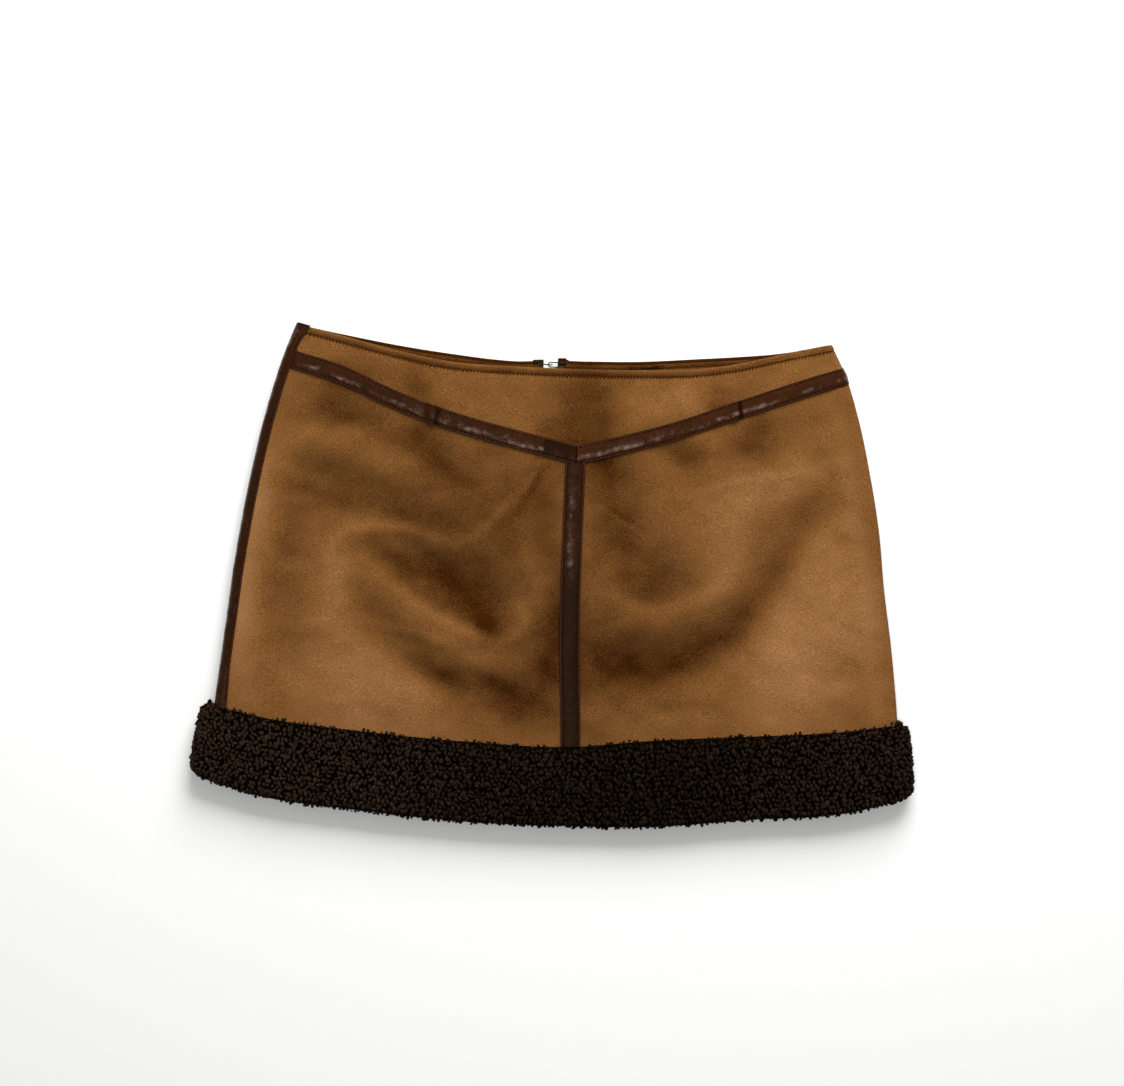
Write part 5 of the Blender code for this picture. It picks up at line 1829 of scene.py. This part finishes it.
def make_band():
    """The pile band: its ground cloth, front and back, and the curls that stand on it."""
    pile = shared("curly_pile", pile_material)
    half = BAND_SEAM_GAP / 2
    insets = [row[0] for row in BAND_ROUND]

    def at_top(s, y):
        return band_edges(s, y)[0]

    def at_hem(s, y):
        return band_edges(s, y)[1]

    top_lines = [above(at_top, -inset) for inset in insets]
    hem_lines = [above(at_hem, inset) for inset in reversed(insets)]
    heights = Lines(*spaced(top_lines, 8), *spaced(hem_lines, 0))

    def ground(c, r, s, y):
        top, hem = band_edges(s, y)
        return -GROUND_DEPTH - 0.75 * band_drop(np.minimum(top - y, y - hem))

    def backing(c, r, s, y):
        _, share = BAND.place(s, y)
        return -(BAND_WALL_BACK + (BAND_WALL_FRONT - BAND_WALL_BACK) * share)

    # The ground between the curls is painted in the pile's darkest colour, as shade
    def ground_in_shade(c, r, s, y):
        return {"tone": np.zeros(s.shape), "crown": np.full(s.shape, -1.0)}

    look = looks()
    spacing, size = look.curl_spacing / MM, look.curl_size / MM
    front = (beside(band_seam_left, half), beside(band_seam_right, -half))
    back = (beside(band_seam_right_behind, half), beside(band_seam_left, -half))
    middle = share_between(*front, 0.5)
    back_middle = share_between(*back, 0.5)
    sides = (
        ("front", "hem_band_front", front, 1.0,
         (("left", front[0], middle), ("right", middle, front[1]))),
        ("back", "hem_band_back", back, 1.3,
         (("right", back[0], back_middle), ("left", back_middle, back[1]))),
    )
    prototypes = curl_prototypes()
    for side, node, (start, end), coarse, halves in sides:
        girth = Lines((start, 130), (end, 0))
        ground_mesh = cloth(BAND, girth, heights, ground, backing, BAND_START_Y, ground_in_shade)
        base = show("band_" + side, ground_mesh, pile, SKIRT_BODY, [node])
        pieces = [
            curls(f"curls_{side}_{name}", first, last, spacing * coarse, size * coarse,
                  prototypes, pile)
            for name, first, last in halves
        ]


def curls(name, start, end, spacing, size, prototypes, material):
    """The curls of one half of a band, each with its own turn, size, tone and shape."""
    s, y, inset, rng = curl_places(start, end, spacing, len(name) * 37 + ord(name[-1]))
    out = BAND.normal(s, y)
    up = out + rng.normal(0, 0.3, out.shape)
    up /= np.linalg.norm(up, axis=-1, keepdims=True)
    grow = size * rng.uniform(0.72, 1.2, len(s)) * (0.74 + 0.26 * smooth(inset / 4.0))
    sink = band_drop(np.clip(inset, 0, 50)) + 0.42 * grow + rng.uniform(-0.5, 0.5, len(s))
    places = BAND.lifted(s, y, -sink)
    way = np.array([0.0, 1.0, 0.0]) + rng.normal(0, 0.6, out.shape)
    turns = quaternions(way, up)
    narrow = rng.uniform(0.62, 0.92, len(s))
    sizes = np.stack([grow, grow * narrow, grow * rng.uniform(0.85, 1.1, len(s))], axis=-1)
    x = BAND.place(s, y)[0]
    ends = 1.1 * smooth((10.0 - x) / 190.0) + 0.5 * smooth((x - 90.0) / 140.0)
    ends = ends - 0.12 * bell(x - 70.0, 60.0)
    tones = rng.uniform(0, 1, len(s)) + ends
    kinds = rng.choice(len(prototypes), len(s), p=CURL_SHARES)
    parts = []
    for kind, prototype in enumerate(prototypes):
        chosen = kinds == kind
        parts.append(
            realised("curls", prototype.copy(), places[chosen], turns[chosen], sizes[chosen],
                     {"tone": tones[chosen]})
        )
    mesh = joined(parts, name)
    rest_on_floor(mesh)
    return show(name, mesh, material, SKIRT_BODY)


def rest_on_floor(mesh, clear=0.0001):
    """Flattens what would reach below the floor."""
    co = np.empty(len(mesh.vertices) * 3, np.float32)
    mesh.vertices.foreach_get("co", co)
    co = co.reshape(-1, 3)
    co[:, 2] = np.maximum(co[:, 2], clear)
    mesh.vertices.foreach_set("co", co.ravel())
    mesh.update()


# ---- zip, hook and eye ----------------------------------------------------------------------


TOOTH_PITCH = 1.5
TOOTH_SIZE = (2.7, 0.72, 1.3)
TOOTH_ASIDE = 0.55


def make_zip():
    """The zip's two tapes, and its closed coil teeth between the back strips."""

    def at(offset):
        return lambda y: SUEDE.round_right(centre_back(y) - offset, y)

    face = -SUEDE_WALL - SEAM_GAP
    across = [-TAPE_HALF_WIDTH, -6.0, -2.0, -0.15, 0.15, 2.0, 6.0, TAPE_HALF_WIDTH]
    girth = Lines(*spaced([at(offset) for offset in across], 0, 2))
    heights = Lines(
        (at_height(ZIP_TOP), 20),
        (at_height(RISE_END), 12),
        (at_height(RISE_END - SLIDER_RAMP), 40),
        (at_height(ZIP_END), 0),
    )

    def outside(c, r, s, y):
        middle = np.abs(centre_back(y) - SUEDE.place(s, y)[0])
        return face - 0.25 * bell(middle, 0.4)

    tape = cloth(SUEDE, girth, heights, outside, level(face - TAPE_WALL + 0.3))
    weave = shared("zip_tape_weave", tape_material)
    show("zip_tapes", tape, weave, SKIRT_BODY, ["zip_tape"])

    y = np.arange(ZIP_TOP - 2.0, ZIP_END + 3.0, -TOOTH_PITCH / 2)
    y = y[(y < SLIDER_Y - 4.0) | (y > SLIDER_Y + 4.5)]
    side = np.where(np.arange(len(y)) % 2 == 0, 1.0, -1.0)
    s = SUEDE.round_right(centre_back(y) - side * TOOTH_ASIDE, y)
    out = SUEDE.normal(s, y)
    along = np.tile([1.0, 0.0, 0.0], (len(y), 1))
    places = SUEDE.lifted(s, y, np.full(len(y), face + 0.65))
    sizes = np.tile(TOOTH_SIZE, (len(y), 1))
    bm = bmesh.new()
    bmesh.ops.create_cube(bm, size=1.0)
    bmesh.ops.bevel(
        bm, geom=bm.edges[:], offset=0.22, segments=1, profile=0.5, affect="EDGES", material=-1
    )
    bmesh.ops.scale(bm, verts=bm.verts[:], vec=(MM, MM, MM))
    tooth = finished(bm, "tooth")
    teeth = realised("zip_teeth", tooth, places, quaternions(along, out), sizes, {})
    show("zip_teeth", teeth, shared("antique_metal", metal_material), SKIRT_BODY)


def dress_metal():
    """The slider, its pull tab, the hook and the eye keep their solids, in antique metal."""
    metal = shared("antique_metal", metal_material)
    for node in ("zip_slider", "zip_pull_tab", "waist_hook", "waist_eye"):
        item = bpy.data.objects[node]
        for slot in item.material_slots:
            slot.material = metal


# ---- stage ----------------------------------------------------------------------------------

FLOOR_HALF = 14.0  # metres from the middle to an edge
FLOOR_DROP = 0.0004
SKY_STRENGTH = 0.36
PHOTO_TURN = 2.3  # degrees that the skirt is turned clockwise in the view
FRAME_WIDTH = 786.8
AIM = (0.8, 25.2)
FOCAL_PLANE = 12.0
SENSOR = 36.0


def area_light(name, place, target, size, power):
    data = bpy.data.lights.new(name, "AREA")
    data.shape = "SQUARE"
    data.size = size
    data.energy = power
    light = placed(name, data)
    light.location = place
    way = Vector(target) - Vector(place)
    light.rotation_euler = way.to_track_quat("-Z", "Y").to_euler()
    return light


def make_stage():
    """A pale floor, soft light and the camera straight above the skirt."""
    look = looks()
    scene = bpy.context.scene
    bm = bmesh.new()
    bmesh.ops.create_grid(bm, x_segments=2, y_segments=2, size=FLOOR_HALF)
    bmesh.ops.translate(bm, verts=bm.verts[:], vec=(0.0, 0.0, -FLOOR_DROP))
    mesh = finished(bm, "floor")
    mesh.materials.append(floor_material())
    floor = placed("floor", mesh)
    floor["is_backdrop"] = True

    world = bpy.data.worlds.new("studio")
    world.use_nodes = True
    sky = world.node_tree.nodes["Background"].inputs
    sky["Color"].default_value = (1.0, 1.0, 1.0, 1.0)
    sky["Strength"].default_value = SKY_STRENGTH
    scene.world = world
    window = area_light("window", (0.25, 1.40, 0.95), (0.0, 0.0, 0.0), 1.1, 48.0)
    window.visible_glossy = False
    area_light("gloss", (-0.08, -0.11, 1.5), (0.0, 0.08, 0.0), 0.13, 4.0)

    camera_data = bpy.data.cameras.new("camera")
    camera = placed("camera", camera_data)
    camera.location = (AIM[0] * MM, AIM[1] * MM, look.camera_height)
    camera.rotation_euler = (0.0, 0.0, math.radians(PHOTO_TURN))
    camera_data.sensor_width = SENSOR
    camera_data.lens = SENSOR * (look.camera_height - FOCAL_PLANE * MM) / (FRAME_WIDTH * MM)
    camera_data.clip_start = 0.01
    camera_data.clip_end = 50.0
    scene.camera = camera
    scene.view_settings.view_transform = "Standard"


# ---- operators and panel --------------------------------------------------------------------


def operator(idname, label, doc, work):
    """An operator that makes one group of pieces, and raises an error if it can't finish."""

    def execute(self, context):
        work()
        return {"FINISHED"}

    return type(
        "SKIRT_OT_" + idname,
        (bpy.types.Operator,),
        {"bl_idname": "skirt." + idname, "bl_label": label, "__doc__": doc, "execute": execute},
    )


OPERATORS = (
    operator("front_panels", "Front Panels", "Make the yoke and front panels", make_front_panels),
    operator("back_panels", "Back Panels", "Make the two back panels", make_back_panels),
    operator("yoke_strips", "Yoke Strips", "Make the slanted seam's strips", make_yoke_strips),
    operator("upright_strips", "Upright Strips", "Make the upright strips", make_upright_strips),
    operator("stitches", "Stitches", "Sew the strips and the waist edge", make_stitches),
    operator("band", "Pile Band", "Make the hem band and its curls", make_band),
    operator("zip", "Zip", "Make the zip's tapes and teeth", make_zip),
    operator("metal", "Metal", "Finish the slider, tab, hook and eye", dress_metal),
    operator("stage", "Stage", "Add the floor, lights and camera", make_stage),
)


class SKIRT_PT_sidebar(bpy.types.Panel):
    """Sizes, colours and pieces of the skirt"""

    bl_idname = "SKIRT_PT_sidebar"
    bl_label = "Skirt"
    bl_space_type = "VIEW_3D"
    bl_region_type = "UI"
    bl_category = "Skirt"

    def draw(self, context):
        look = context.scene.skirt_looks
        for name in look.bl_rna.properties.keys():
            if name not in {"rna_type", "name"}:
                self.layout.prop(look, name)
        for item in OPERATORS:
            self.layout.operator(item.bl_idname)


CLASSES = (SKIRT_PG_looks, *OPERATORS, SKIRT_PT_sidebar)


def register():
    for item in CLASSES:
        bpy.utils.register_class(item)
    bpy.types.Scene.skirt_looks = PointerProperty(type=SKIRT_PG_looks)


def unregister():
    del bpy.types.Scene.skirt_looks
    for item in reversed(CLASSES):
        bpy.utils.unregister_class(item)


def plain(box):
    return [[float(value) for value in corner] for corner in box]


def main():
    register()
    for item in OPERATORS:
        group, name = item.bl_idname.split(".")
        getattr(getattr(bpy.ops, group), name)()
    {"cad": plain(CAD_BOX), "looks": plain(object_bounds())}


if __name__ == "__main__":
    main()
